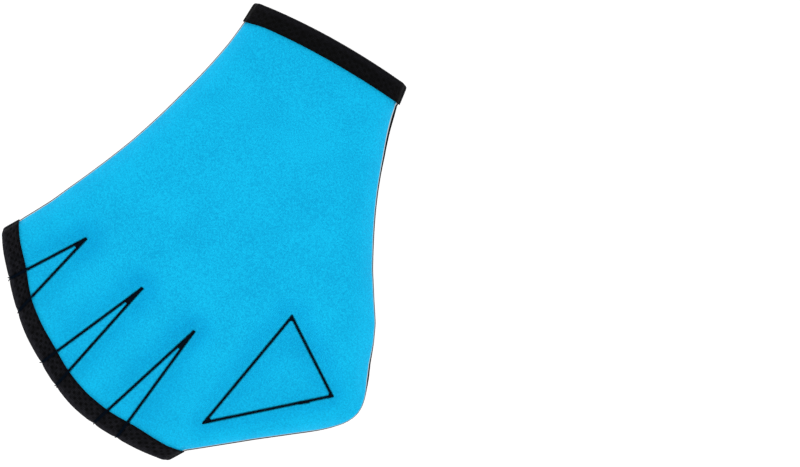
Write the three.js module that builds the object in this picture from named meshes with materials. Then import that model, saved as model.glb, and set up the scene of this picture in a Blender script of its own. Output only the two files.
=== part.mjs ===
// A fingerless webbed swim glove for the right hand, lying palm down.
// Two neoprene panels are joined edge to edge along both sides. Stitched webs part the four fingers and the
// thumb sits in a closed pocket. A folded tape binds the wrist mouth and the finger mouth.
// +Y runs from the wrist to the fingers and +X towards the little finger. The palm side rests on Z = 0.
import * as THREE from "three";

// Driving dimensions, millimetres
const GLOVE_LENGTH = 232; // wrist tape to the tape over the middle finger
const GLOVE_WIDTH = 197; // thumb corner to the little finger's mouth
const PANEL_THICKNESS = 2.5; // foam with jersey on both faces
const TAPED_THICKNESS = 1.6; // the same foam pressed by the tape
const SEAM_EDGE = 1; // what is left of the back panel's edge where it rolls down to the seam
const ROLL_REACH = 3.5; // how far in from a seam the back panel's edge rolls
const PALM_EDGE_ROUND = 0.7; // how much the palm panel's lower edge rounds
const PALM_PROUD = 0.5; // how far the palm panel shows past the back panel beside the thumb
const LAYER_GAP = 0.3; // between the two panels where they are sewn together
const TAPE_WIDTH = 10; // what shows of the binding tape
const TAPE_THICKNESS = 0.7;
const TAPE_FIT = 0.25; // between the tape and the panel that it wraps
const WRIST_ROOM = 8; // height of the hollow at the wrist
const HAND_ROOM = 9; // height of the hollow at the knuckles
const FINGER_ROOM = 8; // height of the hollow at the finger mouth
const HEEL_RUN = 90; // how far in from the wrist the hollow gains its height
const KNUCKLE_RUN = 70; // how far in from the finger mouth it does
const TAPE_SWELL = 9; // how far past the tape a panel takes to swell to its full thickness
const SEAM_REACH = 14; // how far from a side seam the hollow reaches its height
const WEB_REACH = 10; // the same, from a stitched web
const PATCH_REACH = 9; // the same, from the stitched triangle
const PATCH_LOFT = 34; // the reach inside the triangle, so large that its middle stays low

// Outline of the panels: across is a share of half the width and along a share of half the length. Each side
// is one cubic curve through these: a start, two handles and an end.
const SIDES = {
  little: [
    { name: "wrist corner", across: 0.742, along: -0.849 },
    { name: "handle at the wrist", across: 0.685, along: -0.362 },
    { name: "handle at the finger", across: 0.802, along: 0.121 },
  ],
  web: [
    { name: "handle at the index finger", across: -0.53, along: 0.74 },
    { name: "handle at the thumb", across: -0.72, along: 0.555 },
    { name: "start of the thumb corner", across: -0.893, along: 0.388 },
  ],
  corner: [
    { name: "handle before the corner", across: -1.011, along: 0.257 },
    { name: "handle after the corner", across: -1.02, along: 0.213 },
    { name: "end of the thumb corner", across: -0.929, along: 0.091 },
  ],
  thumb: [
    { name: "handle below the thumb", across: -0.656, along: -0.297 },
    { name: "handle at the wrist", across: -0.34, along: -0.44 },
    { name: "wrist corner", across: -0.108, along: -0.991 },
  ],
  wrist: [
    { name: "handle under the thumb", across: 0.191, along: -0.969 },
    { name: "handle under the little finger", across: 0.459, along: -0.928 },
  ],
};

// The finger mouth turns about one centre, with its angles in degrees from +Y towards the little finger. lean is
// how far the index finger's seam leans out under the tape.
const MOUTH = { across: 0.059, along: 0.007, little: 53.7, index: -23.2, lean: 24 };

// How far the mouth's edge is from that centre at even angles, as a share of half the length
const MOUTH_EDGE = [
  { name: "little finger's seam", reach: 0.983 },
  { name: "middle of the little finger", reach: 0.972 },
  { name: "web to the ring finger", reach: 0.964 },
  { name: "thumb side of the ring finger", reach: 0.966 },
  { name: "web to the middle finger", reach: 0.978 },
  { name: "web to the index finger", reach: 0.978 },
  { name: "middle of the index finger", reach: 0.97 },
  { name: "index finger's seam", reach: 0.974 },
];

// Stitched webs between the fingers: where each starts in the palm, and the angles at which it meets the mouth
const WEBS = [
  { name: "little to ring", across: 0.637, along: 0.396, littleSide: 40.8, thumbSide: 32.2 },
  { name: "ring to middle", across: 0.257, along: 0.404, littleSide: 17.7, thumbSide: 10.9 },
  { name: "middle to index", across: -0.085, along: 0.403, littleSide: -2.7, thumbSide: -9.5 },
];

// Stitched triangle between the index finger and the thumb.
const PATCH = [
  { name: "palm corner", across: -0.418, along: 0.086 },
  { name: "finger corner", across: -0.422, along: 0.677 },
  { name: "thumb corner", across: -0.832, along: 0.236 },
];

// Where the palm panel's cut edge shows beside the thumb, as shares of half the length along the glove
const PALM_SHOWS = { start: -0.84, full: -0.72, fade: -0.17, end: 0.09 };

// Facet sizes, millimetres
const BACK_FACET = 6.8;
const PALM_FACET = 18;
const SEAM_FACET = 6;
const MOUTH_FACET = 5;
const STITCH_FACET = 4.5;
const GROOVE_SIDE = 2.8; // the facets beside a stitched line

// Shares that set the facets out
const SEAM_SHARES = [0, 0.3, 0.6, 1]; // rows beside a side seam, of the tape's turn round it
const TURN = { start: 0.4, reach: 0.5 }; // where the hollow under the tape opens, of the same turn
const FOLD_SHARES = [0.15, 0.5, 0.85]; // rows round the tape's fold, of its height
const CLEAR = { band: 0.2, stitch: 0.35, pattern: 0.62 }; // the least gap between points, of a facet
const PROBE = 0.5; // degrees along the mouth that give its direction at a seam
const JITTER = 1e-5; // keeps points off one circle while they are triangulated
const FAR = 20; // size of the first triangle, in lengths of the glove

// Worked out from the dimensions above
const TAPE_BUILD = TAPE_FIT + TAPE_THICKNESS;
const TAPE_LEG = TAPE_WIDTH - TAPE_BUILD;
const TAPE_TURN = TAPED_THICKNESS + TAPE_BUILD + TAPE_FIT; // where the inner leg turns at a side seam
const INNER_ROOM = 2 * TAPE_BUILD + LAYER_GAP; // the least hollow in which both inner legs fit
const SEAM_ROWS = SEAM_SHARES.map((share) => share * TAPE_TURN).concat(TAPE_TURN + ROLL_REACH);
const TAPE_ROWS = [0, TAPE_LEG / 2, TAPE_LEG];
const SLOPE_ROWS = [3, 6.5, 10].map((past) => TAPE_LEG + past);

const place = ({ across, along }) =>
  new THREE.Vector2((across * GLOVE_WIDTH) / 2, (along * GLOVE_LENGTH) / 2);

const smooth = (low, high, value) => THREE.MathUtils.smoothstep(value, low, high);

// From 0 at a stitched line to 1 at the reach, as a soft sheet rises from it
const rise = (distance, reach) => Math.sin((Math.PI / 2) * Math.min(distance / reach, 1));

// From 0 at an edge to 1 at the reach, as a quarter of an ellipse
const roll = (distance, reach) => Math.sqrt(1 - (1 - Math.min(distance / reach, 1)) ** 2);

const mouthEdge = new THREE.SplineCurve(
  MOUTH_EDGE.map(({ reach }, row) => new THREE.Vector2(row, (reach * GLOVE_LENGTH) / 2)),
);

function onMouth(degrees) {
  const angle = THREE.MathUtils.degToRad(degrees);
  const reach = mouthEdge.getPoint((degrees - MOUTH.little) / (MOUTH.index - MOUTH.little)).y;
  return place(MOUTH).add(new THREE.Vector2(Math.sin(angle), Math.cos(angle)).multiplyScalar(reach));
}

// Curves of the outline, anticlockwise seen from above
const corners = {
  wristLittle: place(SIDES.little[0]),
  fingerLittle: onMouth(MOUTH.little),
  fingerIndex: onMouth(MOUTH.index),
  wristThumb: place(SIDES.thumb.at(-1)),
  thumbStart: place(SIDES.web.at(-1)),
  thumbEnd: place(SIDES.corner.at(-1)),
};
const lean = THREE.MathUtils.degToRad(MOUTH.lean);
const indexDown = new THREE.Vector2(-Math.sin(lean), -Math.cos(lean));
corners.indexTape = corners.fingerIndex.clone().addScaledVector(indexDown, TAPE_LEG);
const cubic = (...points) => new THREE.CubicBezierCurve(...points);
const curves = {
  little: cubic(...SIDES.little.map(place), corners.fingerLittle),
  indexEnd: new THREE.LineCurve(corners.fingerIndex, corners.indexTape),
  web: cubic(corners.indexTape, ...SIDES.web.map(place)),
  corner: cubic(corners.thumbStart, ...SIDES.corner.map(place)),
  thumb: cubic(corners.thumbEnd, ...SIDES.thumb.map(place)),
  wrist: cubic(corners.wristThumb, ...SIDES.wrist.map(place), corners.wristLittle),
};

// A station of a mouth is a point on its edge and the way into the glove from there.
const station = (point, inward) => ({ point, inward: inward.clone().normalize() });
const into = ({ point, inward }, depth) => point.clone().addScaledVector(inward, depth);

// Fills in stations between two others: points along the mouth, and directions that fan from one to the other
function fan(from, to, at, facet) {
  const count = Math.max(2, Math.round(from.point.distanceTo(to.point) / facet));
  const made = [];
  for (let i = 1; i < count; i += 1) {
    made.push(station(at(i / count), from.inward.clone().lerp(to.inward, i / count)));
  }
  return made;
}

// Stations close to a side seam, at the depths where the tape turns round it
function besideSeam(from, along) {
  const skew = Math.abs(from.inward.cross(along));
  const at = (depth) => from.point.clone().addScaledVector(along, depth / skew);
  return SEAM_ROWS.map((depth) => station(at(depth), from.inward));
}

const seamDirection = (curve, end) => curve.getTangent(end).multiplyScalar(end === 0 ? 1 : -1);

// The finger mouth, from the little finger's side to the index finger's side
function fingerStations() {
  const first = station(corners.fingerLittle, seamDirection(curves.little, 1));
  const last = station(corners.fingerIndex, seamDirection(curves.indexEnd, 0));
  const angleOf = (side, turn) => {
    const run = SEAM_ROWS.at(-1) / Math.abs(side.inward.cross(turn));
    return THREE.MathUtils.radToDeg(run / side.point.distanceTo(place(MOUTH)));
  };
  const alongFirst = onMouth(MOUTH.little - PROBE).sub(first.point).normalize();
  const alongLast = onMouth(MOUTH.index + PROBE).sub(last.point).normalize();
  const legs = WEBS.flatMap((web) =>
    [web.littleSide, web.thumbSide].map((angle) => {
      const point = onMouth(angle);
      return { angle, ...station(point, place(web).sub(point)) };
    }),
  );
  const seamFirst = besideSeam(first, alongFirst);
  const seamLast = besideSeam(last, alongLast);
  const knots = [
    { angle: MOUTH.little - angleOf(first, alongFirst), ...seamFirst.at(-1) },
    ...legs,
    { angle: MOUTH.index + angleOf(last, alongLast), ...seamLast.at(-1) },
  ];
  const made = seamFirst.slice(0, -1);
  knots.forEach((knot, i) => {
    made.push(station(knot.point, knot.inward));
    if (i + 1 < knots.length) {
      const next = knots[i + 1];
      const at = (share) => onMouth(THREE.MathUtils.lerp(knot.angle, next.angle, share));
      made.push(...fan(knot, next, at, MOUTH_FACET));
    }
  });
  return made.concat(seamLast.slice(0, -1).reverse());
}

// The wrist mouth, from the thumb's side to the little finger's side
function wristStations() {
  const first = station(corners.wristThumb, seamDirection(curves.thumb, 1));
  const last = station(corners.wristLittle, seamDirection(curves.little, 0));
  const seamFirst = besideSeam(first, curves.wrist.getTangent(0));
  const seamLast = besideSeam(last, curves.wrist.getTangent(1).negate());
  const length = curves.wrist.getLength();
  const start = first.point.distanceTo(seamFirst.at(-1).point) / length;
  const stop = 1 - last.point.distanceTo(seamLast.at(-1).point) / length;
  const at = (share) => curves.wrist.getPointAt(THREE.MathUtils.lerp(start, stop, share));
  return [...seamFirst, ...fan(seamFirst.at(-1), seamLast.at(-1), at, MOUTH_FACET), ...seamLast.reverse()];
}

const mouths = { finger: fingerStations(), wrist: wristStations() };

// The points of each mouth under the tape, a row for each station and a column for each depth
const under = {
  finger: mouths.finger.map((one) => TAPE_ROWS.map((depth) => into(one, depth))),
  wrist: mouths.wrist.map((one) => TAPE_ROWS.map((depth) => into(one, depth))),
};

// A side seam's points between the bands of two mouths, with the way into the glove
function seamStations(chain) {
  const length = chain.reduce((sum, curve) => sum + curve.getLength(), 0);
  const taped = TAPE_LEG + SEAM_FACET / 2;
  const count = Math.round((length - 2 * taped) / SEAM_FACET);
  const made = [];
  for (let i = 0; i <= count; i += 1) {
    let run = THREE.MathUtils.lerp(taped, length - taped, i / count);
    let k = 0;
    while (k < chain.length - 1 && run > chain[k].getLength()) {
      run -= chain[k].getLength();
      k += 1;
    }
    const share = Math.min(run / chain[k].getLength(), 1);
    const tangent = chain[k].getTangentAt(share);
    made.push(station(chain[k].getPointAt(share), new THREE.Vector2(-tangent.y, tangent.x)));
  }
  return made;
}

const seams = {
  little: seamStations([curves.little]),
  thumb: seamStations([curves.indexEnd, curves.web, curves.corner, curves.thumb]),
};

// The outline as points, anticlockwise, and its stretches for measuring distances
const seamPoints = (seam) => seam.map(({ point }) => point);
const littleSide = [...under.wrist.at(-1), ...seamPoints(seams.little), ...under.finger[0].toReversed()];
const thumbSide = [...under.finger.at(-1), ...seamPoints(seams.thumb), ...under.wrist[0].toReversed()];
const fingerEdge = under.finger.map((row) => row[0]);
const wristEdge = under.wrist.map((row) => row[0]);
const joined = (...lines) => lines.flatMap((line) => line.slice(0, -1));
const outline = joined(littleSide, fingerEdge, thumbSide, wristEdge);

// The outline of what the tape leaves free
const shallow = TAPE_ROWS.length - 1;
const freeOutline = joined(
  littleSide.slice(shallow, -shallow),
  under.finger.map((row) => row.at(-1)),
  thumbSide.slice(shallow, -shallow),
  under.wrist.map((row) => row.at(-1)),
);

function distanceToLine(point, line, closed = false) {
  let least = Infinity;
  const last = closed ? line.length : line.length - 1;
  for (let i = 0; i < last; i += 1) {
    const start = line[i];
    const run = line[(i + 1) % line.length].clone().sub(start);
    const share = THREE.MathUtils.clamp(point.clone().sub(start).dot(run) / run.lengthSq(), 0, 1);
    least = Math.min(least, point.distanceTo(run.multiplyScalar(share).add(start)));
  }
  return least;
}

function inside(point, polygon) {
  let within = false;
  polygon.forEach((a, i) => {
    const b = polygon[(i + 1) % polygon.length];
    if (a.y > point.y !== b.y > point.y) {
      const x = a.x + ((point.y - a.y) * (b.x - a.x)) / (b.y - a.y);
      within = point.x < x ? !within : within;
    }
  });
  return within;
}

const webWedges = WEBS.map((web) => [place(web), onMouth(web.thumbSide), onMouth(web.littleSide)]);
const patchOutline = PATCH.map(place);
const tipPoint = place(SIDES.corner[1]);
const awayFromTip = thumbSide.map((point) => point.distanceTo(tipPoint));
const tipIndex = awayFromTip.indexOf(Math.min(...awayFromTip));
const sideLines = [littleSide, thumbSide.slice(0, tipIndex + 1), thumbSide.slice(tipIndex)];

// Heights of the four faces of the two panels above the surface that the glove lies on
function faces(point) {
  const toSeam = Math.min(distanceToLine(point, littleSide), distanceToLine(point, thumbSide));
  const toFinger = distanceToLine(point, fingerEdge);
  const toWrist = distanceToLine(point, wristEdge);
  const toMouth = Math.min(toFinger, toWrist);
  const underTape = 1 - smooth(TAPE_LEG, TAPE_LEG + TAPE_SWELL, toMouth);
  const handRoom = THREE.MathUtils.lerp(FINGER_ROOM, HAND_ROOM, smooth(0, KNUCKLE_RUN, toFinger));
  const room = THREE.MathUtils.lerp(WRIST_ROOM, handRoom, smooth(0, HEEL_RUN, toWrist));
  let loft = sideLines.reduce((product, line) => product * rise(distanceToLine(point, line), SEAM_REACH), 1);
  webWedges.forEach((wedge) => {
    const away = inside(point, wedge) ? 0 : distanceToLine(point, wedge, true);
    loft *= rise(away, WEB_REACH);
  });
  const patchReach = inside(point, patchOutline) ? PATCH_LOFT : PATCH_REACH;
  loft *= rise(distanceToLine(point, patchOutline, true), patchReach);
  const turn = roll(Math.max(0, toSeam - TURN.start * TAPE_TURN), TURN.reach * TAPE_TURN);
  const least = LAYER_GAP + (INNER_ROOM - LAYER_GAP) * underTape * turn;
  const lift = TAPE_BUILD * underTape;
  const thick = THREE.MathUtils.lerp(PANEL_THICKNESS, TAPED_THICKNESS, underTape);
  const palmIn = lift + thick;
  const backIn = palmIn + least + (room - least) * loft;
  return {
    palmOut: lift + PALM_EDGE_ROUND * (1 - roll(toSeam, 2 * PALM_EDGE_ROUND)),
    palmIn,
    backIn,
    backOut: backIn + SEAM_EDGE + (thick - SEAM_EDGE) * roll(toSeam, ROLL_REACH),
  };
}

// Points of a panel that the tape leaves free: its outline, the bands beside seams and tape, the given marks
// and a regular pattern of points between them
function freePoints(facet, marks) {
  const points = [...freeOutline];
  const offEdge = (point) => {
    return inside(point, freeOutline) && distanceToLine(point, freeOutline, true) > SEAM_ROWS[1] / 2;
  };
  const keep = (point, clear) => {
    if (offEdge(point) && points.every((other) => other.distanceTo(point) > clear)) points.push(point);
  };
  Object.values(seams).forEach((seam) => {
    seam.forEach((one) => SEAM_ROWS.slice(1).forEach((depth) => points.push(into(one, depth))));
  });
  const slopeClear = SLOPE_ROWS[0] - TAPE_LEG - facet * CLEAR.band / 3;
  Object.values(mouths).forEach((mouth) => {
    mouth.forEach((one) => SLOPE_ROWS.forEach((depth) => keep(into(one, depth), slopeClear)));
  });
  const clearOfBands = (point) => {
    const toMouth = Math.min(distanceToLine(point, fingerEdge), distanceToLine(point, wristEdge));
    const toSeam = Math.min(distanceToLine(point, littleSide), distanceToLine(point, thumbSide));
    const past = facet * CLEAR.band;
    return inside(point, outline) && toMouth > SLOPE_ROWS.at(-1) + past && toSeam > SEAM_ROWS.at(-1) + past;
  };
  marks.filter(clearOfBands).forEach((point) => keep(point, STITCH_FACET * CLEAR.stitch));
  const rowStep = (facet * Math.sqrt(3)) / 2;
  for (let row = 0; row * rowStep < GLOVE_LENGTH; row += 1) {
    for (let column = 0; column * facet < GLOVE_WIDTH; column += 1) {
      const x = (column + (row % 2) / 2) * facet - GLOVE_WIDTH / 2;
      const point = new THREE.Vector2(x, row * rowStep - GLOVE_LENGTH / 2);
      if (clearOfBands(point)) keep(point, facet * CLEAR.pattern);
    }
  }
  return points;
}

// Points on and beside a stitched line, so that facets follow its groove
function grooveMarks(from, to) {
  const run = to.clone().sub(from);
  const side = new THREE.Vector2(-run.y, run.x).normalize().multiplyScalar(GROOVE_SIDE);
  const count = Math.ceil(run.length() / STITCH_FACET);
  const line = [];
  const beside = [];
  for (let i = 0; i <= count; i += 1) {
    const point = from.clone().addScaledVector(run, i / count);
    line.push(point);
    beside.push(point.clone().add(side), point.clone().sub(side));
  }
  return { line, beside };
}

function backMarks() {
  const grooves = [
    ...webWedges.flatMap(([apex, ...ends]) => ends.map((end) => grooveMarks(apex, end))),
    ...patchOutline.map((point, i) => grooveMarks(point, patchOutline[(i + 1) % patchOutline.length])),
  ];
  return [...grooves.flatMap(({ line }) => line), ...grooves.flatMap(({ beside }) => beside)];
}

// Triangles between scattered points inside a border, each of whose circles holds no other point
function triangulate(points, border) {
  const far = FAR * GLOVE_LENGTH;
  const all = points.map((point, i) => {
    return new THREE.Vector2(Math.sin(7 * i), Math.cos(11 * i)).multiplyScalar(JITTER).add(point);
  });
  const shifted = new Map(points.map((point, i) => [point, all[i]]));
  const ring = border.map((point) => shifted.get(point));
  const n = all.length;
  all.push(new THREE.Vector2(-far, -far), new THREE.Vector2(far, -far), new THREE.Vector2(0, far));
  const circle = (a, b, c) => {
    const [p, q, r] = [all[a], all[b], all[c]];
    const turn = 2 * (p.x * (q.y - r.y) + q.x * (r.y - p.y) + r.x * (p.y - q.y));
    const x = (p.lengthSq() * (q.y - r.y) + q.lengthSq() * (r.y - p.y) + r.lengthSq() * (p.y - q.y)) / turn;
    const y = (p.lengthSq() * (r.x - q.x) + q.lengthSq() * (p.x - r.x) + r.lengthSq() * (q.x - p.x)) / turn;
    return { a, b, c, x, y, square: (p.x - x) ** 2 + (p.y - y) ** 2 };
  };
  let triangles = [circle(n, n + 1, n + 2)];
  for (let i = 0; i < n; i += 1) {
    const rim = new Map();
    const kept = [];
    triangles.forEach((t) => {
      if ((all[i].x - t.x) ** 2 + (all[i].y - t.y) ** 2 >= t.square) {
        kept.push(t);
        return;
      }
      [[t.a, t.b], [t.b, t.c], [t.c, t.a]].forEach(([from, to]) => {
        if (!rim.delete(`${to},${from}`)) rim.set(`${from},${to}`, [from, to]);
      });
    });
    rim.forEach(([from, to]) => kept.push(circle(from, to, i)));
    triangles = kept;
  }
  return triangles
    .filter(({ a, b, c }) => {
      if (Math.max(a, b, c) >= n) return false;
      return inside(all[a].clone().add(all[b]).add(all[c]).divideScalar(3), ring);
    })
    .map(({ a, b, c }) => [points[a], points[b], points[c]]);
}

// Triangles under the tape, two for each pair of stations and depths, always split the same way
function tapedTriangles(rows) {
  return rows.slice(1).flatMap((row, i) => {
    const before = rows[i];
    return TAPE_ROWS.slice(1).flatMap((_, j) => [
      [before[j], row[j + 1], before[j + 1]],
      [before[j], row[j], row[j + 1]],
    ]);
  });
}

function solid(positions, triangles) {
  const geometry = new THREE.BufferGeometry();
  geometry.setAttribute("position", new THREE.Float32BufferAttribute(positions, 3));
  geometry.setIndex(triangles);
  geometry.computeVertexNormals();
  return geometry;
}

// A panel is the sheet between two faces over the same points, closed by a wall along the outline.
function panel(free, lower, upper, proud = () => 0) {
  const taped = Object.values(under).flatMap(tapedTriangles);
  const flat = [...triangulate(free, freeOutline), ...taped];
  const points = [...new Set([...outline, ...flat.flat()])];
  const order = new Map(points.map((point, i) => [point, i]));
  const heights = points.map(faces);
  const moved = points.map((point, i) => {
    const out = i < outline.length ? proud(point) : 0;
    return point.clone().addScaledVector(point.clone().normalize(), out);
  });
  const positions = [
    ...moved.flatMap((point, i) => [point.x, point.y, heights[i][lower]]),
    ...moved.flatMap((point, i) => [point.x, point.y, heights[i][upper]]),
  ];
  const top = points.length;
  const triangles = flat.flatMap((corners) => {
    const [a, b, c] = corners.map((point) => order.get(point));
    return [c, b, a, a + top, b + top, c + top];
  });
  outline.forEach((_, i) => {
    const next = (i + 1) % outline.length;
    triangles.push(i, next, next + top, i, next + top, i + top);
  });
  return solid(positions, triangles);
}

// The palm panel's cut edge shows beside the thumb seam, most towards the wrist.
function palmProud(point) {
  const beside = distanceToLine(point, thumbSide) < LAYER_GAP ? 1 : 0;
  const along = (2 * point.y) / GLOVE_LENGTH;
  const { start, full, fade, end } = PALM_SHOWS;
  return PALM_PROUD * beside * smooth(start, full, along) * (1 - smooth(fade, end, along));
}

// Moves each point of a closed ring off it, square to both of its neighbours and to the way into the glove
function offsetRing(ring, inwards, distance) {
  const square = (from, to, inward) => to.clone().sub(from).cross(inward).normalize();
  return ring.map((point, i) => {
    const before = square(ring.at(i - 1), point, inwards[i]);
    const after = square(point, ring[(i + 1) % ring.length], inwards[i]);
    const both = before.add(after);
    return point.clone().addScaledVector(both, (2 * distance) / both.lengthSq());
  });
}

// One turn of tape round a mouth: along the back panel, round a side seam, along the palm panel and round again.
// Its section is an outer leg, a fold over the cut edge and an inner leg. Round a seam the outer leg follows
// the edges of both panels, while the inner leg turns about the row where the hollow has room for it.
function binding(mouth) {
  const turnRow = SEAM_ROWS.length - 2;
  const last = mouth.length - 1;
  const across = (from, to) => mouth[to].point.clone().sub(mouth[from].point).normalize();
  const toLast = { pivot: mouth[last - turnRow], aside: across(last, last - 1) };
  const toFirst = { pivot: mouth[turnRow], aside: across(0, 1) };
  const back = { outer: "backOut", inner: "backIn", up: 1 };
  const palm = { outer: "palmOut", inner: "palmIn", up: -1 };
  const along = (side) => mouth.map((one, index) => ({ one, index, side }));
  const turn = (stops, seam, from, to) => {
    return stops.map((stop, i) => ({ ...stop, ...seam, from, to, share: (i + 1) / (stops.length + 1) }));
  };
  const [onBack, onPalm] = [along(back), along(palm).toReversed()];
  const stations = [
    ...onBack.slice(turnRow, -turnRow),
    ...turn([...onBack.slice(-turnRow), ...onPalm.slice(0, turnRow)], toLast, back, palm),
    ...onPalm.slice(turnRow, -turnRow),
    ...turn([...onPalm.slice(-turnRow), ...onBack.slice(0, turnRow)], toFirst, palm, back),
  ];
  const at = (one, depth, face) => {
    const point = into(one, depth);
    return new THREE.Vector3(point.x, point.y, faces(point)[face]);
  };
  const inwards = stations.map(({ one }) => new THREE.Vector3(one.inward.x, one.inward.y, 0));
  const outerRing = (depth, distance) => {
    return offsetRing(stations.map(({ one, side }) => at(one, depth, side.outer)), inwards, distance);
  };
  const innerRing = (depth, distance) => {
    const turned = (pivot, side, aside) => {
      const off = new THREE.Vector3(aside.x, aside.y, 0).multiplyScalar(distance + LAYER_GAP);
      return at(pivot, depth, side.inner).add(off.setZ(-side.up * distance));
    };
    const straight = stations.map(({ one, side }) => at(one, depth, side.inner));
    return offsetRing(straight, inwards, -distance).map((point, i) => {
      const { one, side, pivot, from, to, aside, share } = stations[i];
      if (pivot) return turned(pivot, from, aside).lerp(turned(pivot, to, aside), share);
      const seam = [toFirst, toLast].find((end) => end.pivot === one);
      return seam ? turned(one, side, seam.aside) : point;
    });
  };
  const towardsHand = (ring, distance) => {
    return ring.map((point, i) => point.clone().addScaledVector(inwards[i], distance));
  };
  const outer = outerRing(0, TAPE_BUILD);
  const inner = innerRing(0, TAPE_BUILD);
  const folds = FOLD_SHARES.map((share) => {
    const bulge = TAPE_BUILD * Math.sqrt(Math.sin(Math.PI * share));
    return towardsHand(outer.map((point, i) => point.clone().lerp(inner[i], share)), -bulge);
  });
  const beforeEdge = -1;
  const rings = [
    ...TAPE_ROWS.toReversed().map((depth) => ({ depth, ring: outerRing(depth, TAPE_BUILD) })),
    ...folds.map((ring) => ({ depth: beforeEdge, ring })),
    ...TAPE_ROWS.map((depth) => ({ depth, ring: innerRing(depth, TAPE_BUILD) })),
    ...TAPE_ROWS.toReversed().slice(0, -1).map((depth) => ({ depth, ring: innerRing(depth, TAPE_FIT) })),
    { depth: 0, ring: towardsHand(innerRing(0, TAPE_FIT), -TAPE_FIT) },
    { depth: 0, ring: towardsHand(outerRing(0, TAPE_FIT), -TAPE_FIT) },
    ...TAPE_ROWS.slice(1).map((depth) => ({ depth, ring: outerRing(depth, TAPE_FIT) })),
  ];
  const around = stations.length;
  const triangles = [];
  rings.forEach(({ depth }, j) => {
    const k = (j + 1) % rings.length;
    stations.forEach(({ index }, i) => {
      const next = (i + 1) % around;
      const [a, b, c, d] = [j * around + i, j * around + next, k * around + next, k * around + i];
      const split = index < stations[next].index === depth < rings[k].depth;
      triangles.push(...(split ? [a, c, b, a, d, c] : [a, d, b, b, d, c]));
    });
  });
  return solid(rings.flatMap(({ ring }) => ring).flatMap(({ x, y, z }) => [x, y, z]), triangles);
}

const blueJersey = new THREE.MeshStandardMaterial({ color: 0x08b4ea, roughness: 0.75, metalness: 0 });
const blackJersey = new THREE.MeshStandardMaterial({ color: 0x17171a, roughness: 0.8, metalness: 0 });
const blackTape = new THREE.MeshStandardMaterial({ color: 0x1b1b1f, roughness: 0.85, metalness: 0 });

const glove = new THREE.Group();

function add(name, geometry, material) {
  const mesh = new THREE.Mesh(geometry, material);
  mesh.name = name;
  glove.add(mesh);
}

add("back_panel", panel(freePoints(BACK_FACET, backMarks()), "backIn", "backOut"), blueJersey);
add("palm_panel", panel(freePoints(PALM_FACET, []), "palmOut", "palmIn", palmProud), blackJersey);
add("wrist_binding", binding(mouths.wrist), blackTape);
add("finger_binding", binding(mouths.finger), blackTape);

export default glove;
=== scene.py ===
"""A fingerless webbed swim glove for the right hand, lying palm down on a white table.

Two sheets of jersey-laminated neoprene are sewn edge to edge, stitched webs part the fingers, and a folded
tape binds the wrist and the fingers' mouths. Lengths inside the classes are millimetres.
"""

import logging
import math
from collections.abc import Callable, Sequence
from dataclasses import dataclass, field
from enum import Enum

import bpy
import numpy as np
from mathutils import Matrix, Vector


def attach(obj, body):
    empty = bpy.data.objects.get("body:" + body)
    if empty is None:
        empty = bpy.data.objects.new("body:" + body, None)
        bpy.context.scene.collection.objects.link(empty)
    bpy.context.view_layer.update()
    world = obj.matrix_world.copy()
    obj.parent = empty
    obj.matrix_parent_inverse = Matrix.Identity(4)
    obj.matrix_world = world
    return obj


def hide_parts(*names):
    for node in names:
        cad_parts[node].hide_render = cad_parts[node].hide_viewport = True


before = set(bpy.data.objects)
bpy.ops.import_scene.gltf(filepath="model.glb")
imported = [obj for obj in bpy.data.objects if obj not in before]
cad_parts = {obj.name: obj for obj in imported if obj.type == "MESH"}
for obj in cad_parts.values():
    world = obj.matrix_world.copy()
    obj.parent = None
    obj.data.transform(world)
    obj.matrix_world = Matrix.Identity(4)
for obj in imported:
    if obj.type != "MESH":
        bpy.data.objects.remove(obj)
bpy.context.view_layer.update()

LOG = logging.getLogger("glove")
MM = 0.001
ROOT = "root"

Array = np.ndarray
Pair = tuple[float, float]


# Small helpers


def linear(colour: str, alpha: float = 1.0) -> tuple[float, float, float, float]:
    """Turns an sRGB hex colour to linear light.

    Args:
        colour: Six hex digits after a hash sign.
        alpha: Opacity, from 0 to 1.

    Returns:
        Red, green, blue and alpha.
    """
    parts = [int(colour[i : i + 2], 16) / 255 for i in (1, 3, 5)]
    turned = [c / 12.92 if c <= 0.04045 else ((c + 0.055) / 1.055) ** 2.4 for c in parts]
    return (turned[0], turned[1], turned[2], alpha)


def new_material(name: str) -> tuple[bpy.types.Material, bpy.types.NodeTree]:
    """Starts a material with nothing in its node tree.

    Args:
        name: The material's name.

    Returns:
        The material and its tree.
    """
    material = bpy.data.materials.new(name)
    material.use_nodes = True
    material.node_tree.nodes.clear()
    return material, material.node_tree


def add_node(
    tree: bpy.types.NodeTree,
    kind: str,
    settings: dict[str, object] | None = None,
    inputs: dict[str | int, object] | None = None,
) -> bpy.types.Node:
    """Adds one node with its settings and inputs.

    Args:
        tree: The node tree that gets the node.
        kind: The node's type name.
        settings: Attributes of the node and their values.
        inputs: Input sockets by name or number, each with a value or the socket that feeds it.

    Returns:
        The new node.
    """
    node = tree.nodes.new(kind)
    for name, value in (settings or {}).items():
        setattr(node, name, value)
    for key, value in (inputs or {}).items():
        if isinstance(value, bpy.types.NodeSocket):
            tree.links.new(value, node.inputs[key])
        else:
            node.inputs[key].default_value = value
    return node


def smooth(low: float, high: float, value: Array) -> Array:
    """Eases from 0 at low to 1 at high."""
    share = np.clip((value - low) / (high - low), 0, 1)
    return share * share * (3 - 2 * share)


def rise(distance: Array, reach: Array | float) -> Array:
    """Goes from 0 at a stitched line to 1 at the reach, as a soft sheet rises from it."""
    return np.sin(np.pi / 2 * np.minimum(distance / reach, 1))


def rounded(distance: Array, radius: float) -> Array:
    """Rounds off the crease that a plain distance leaves at its line."""
    return np.sqrt(distance**2 + radius**2) - radius


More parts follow.
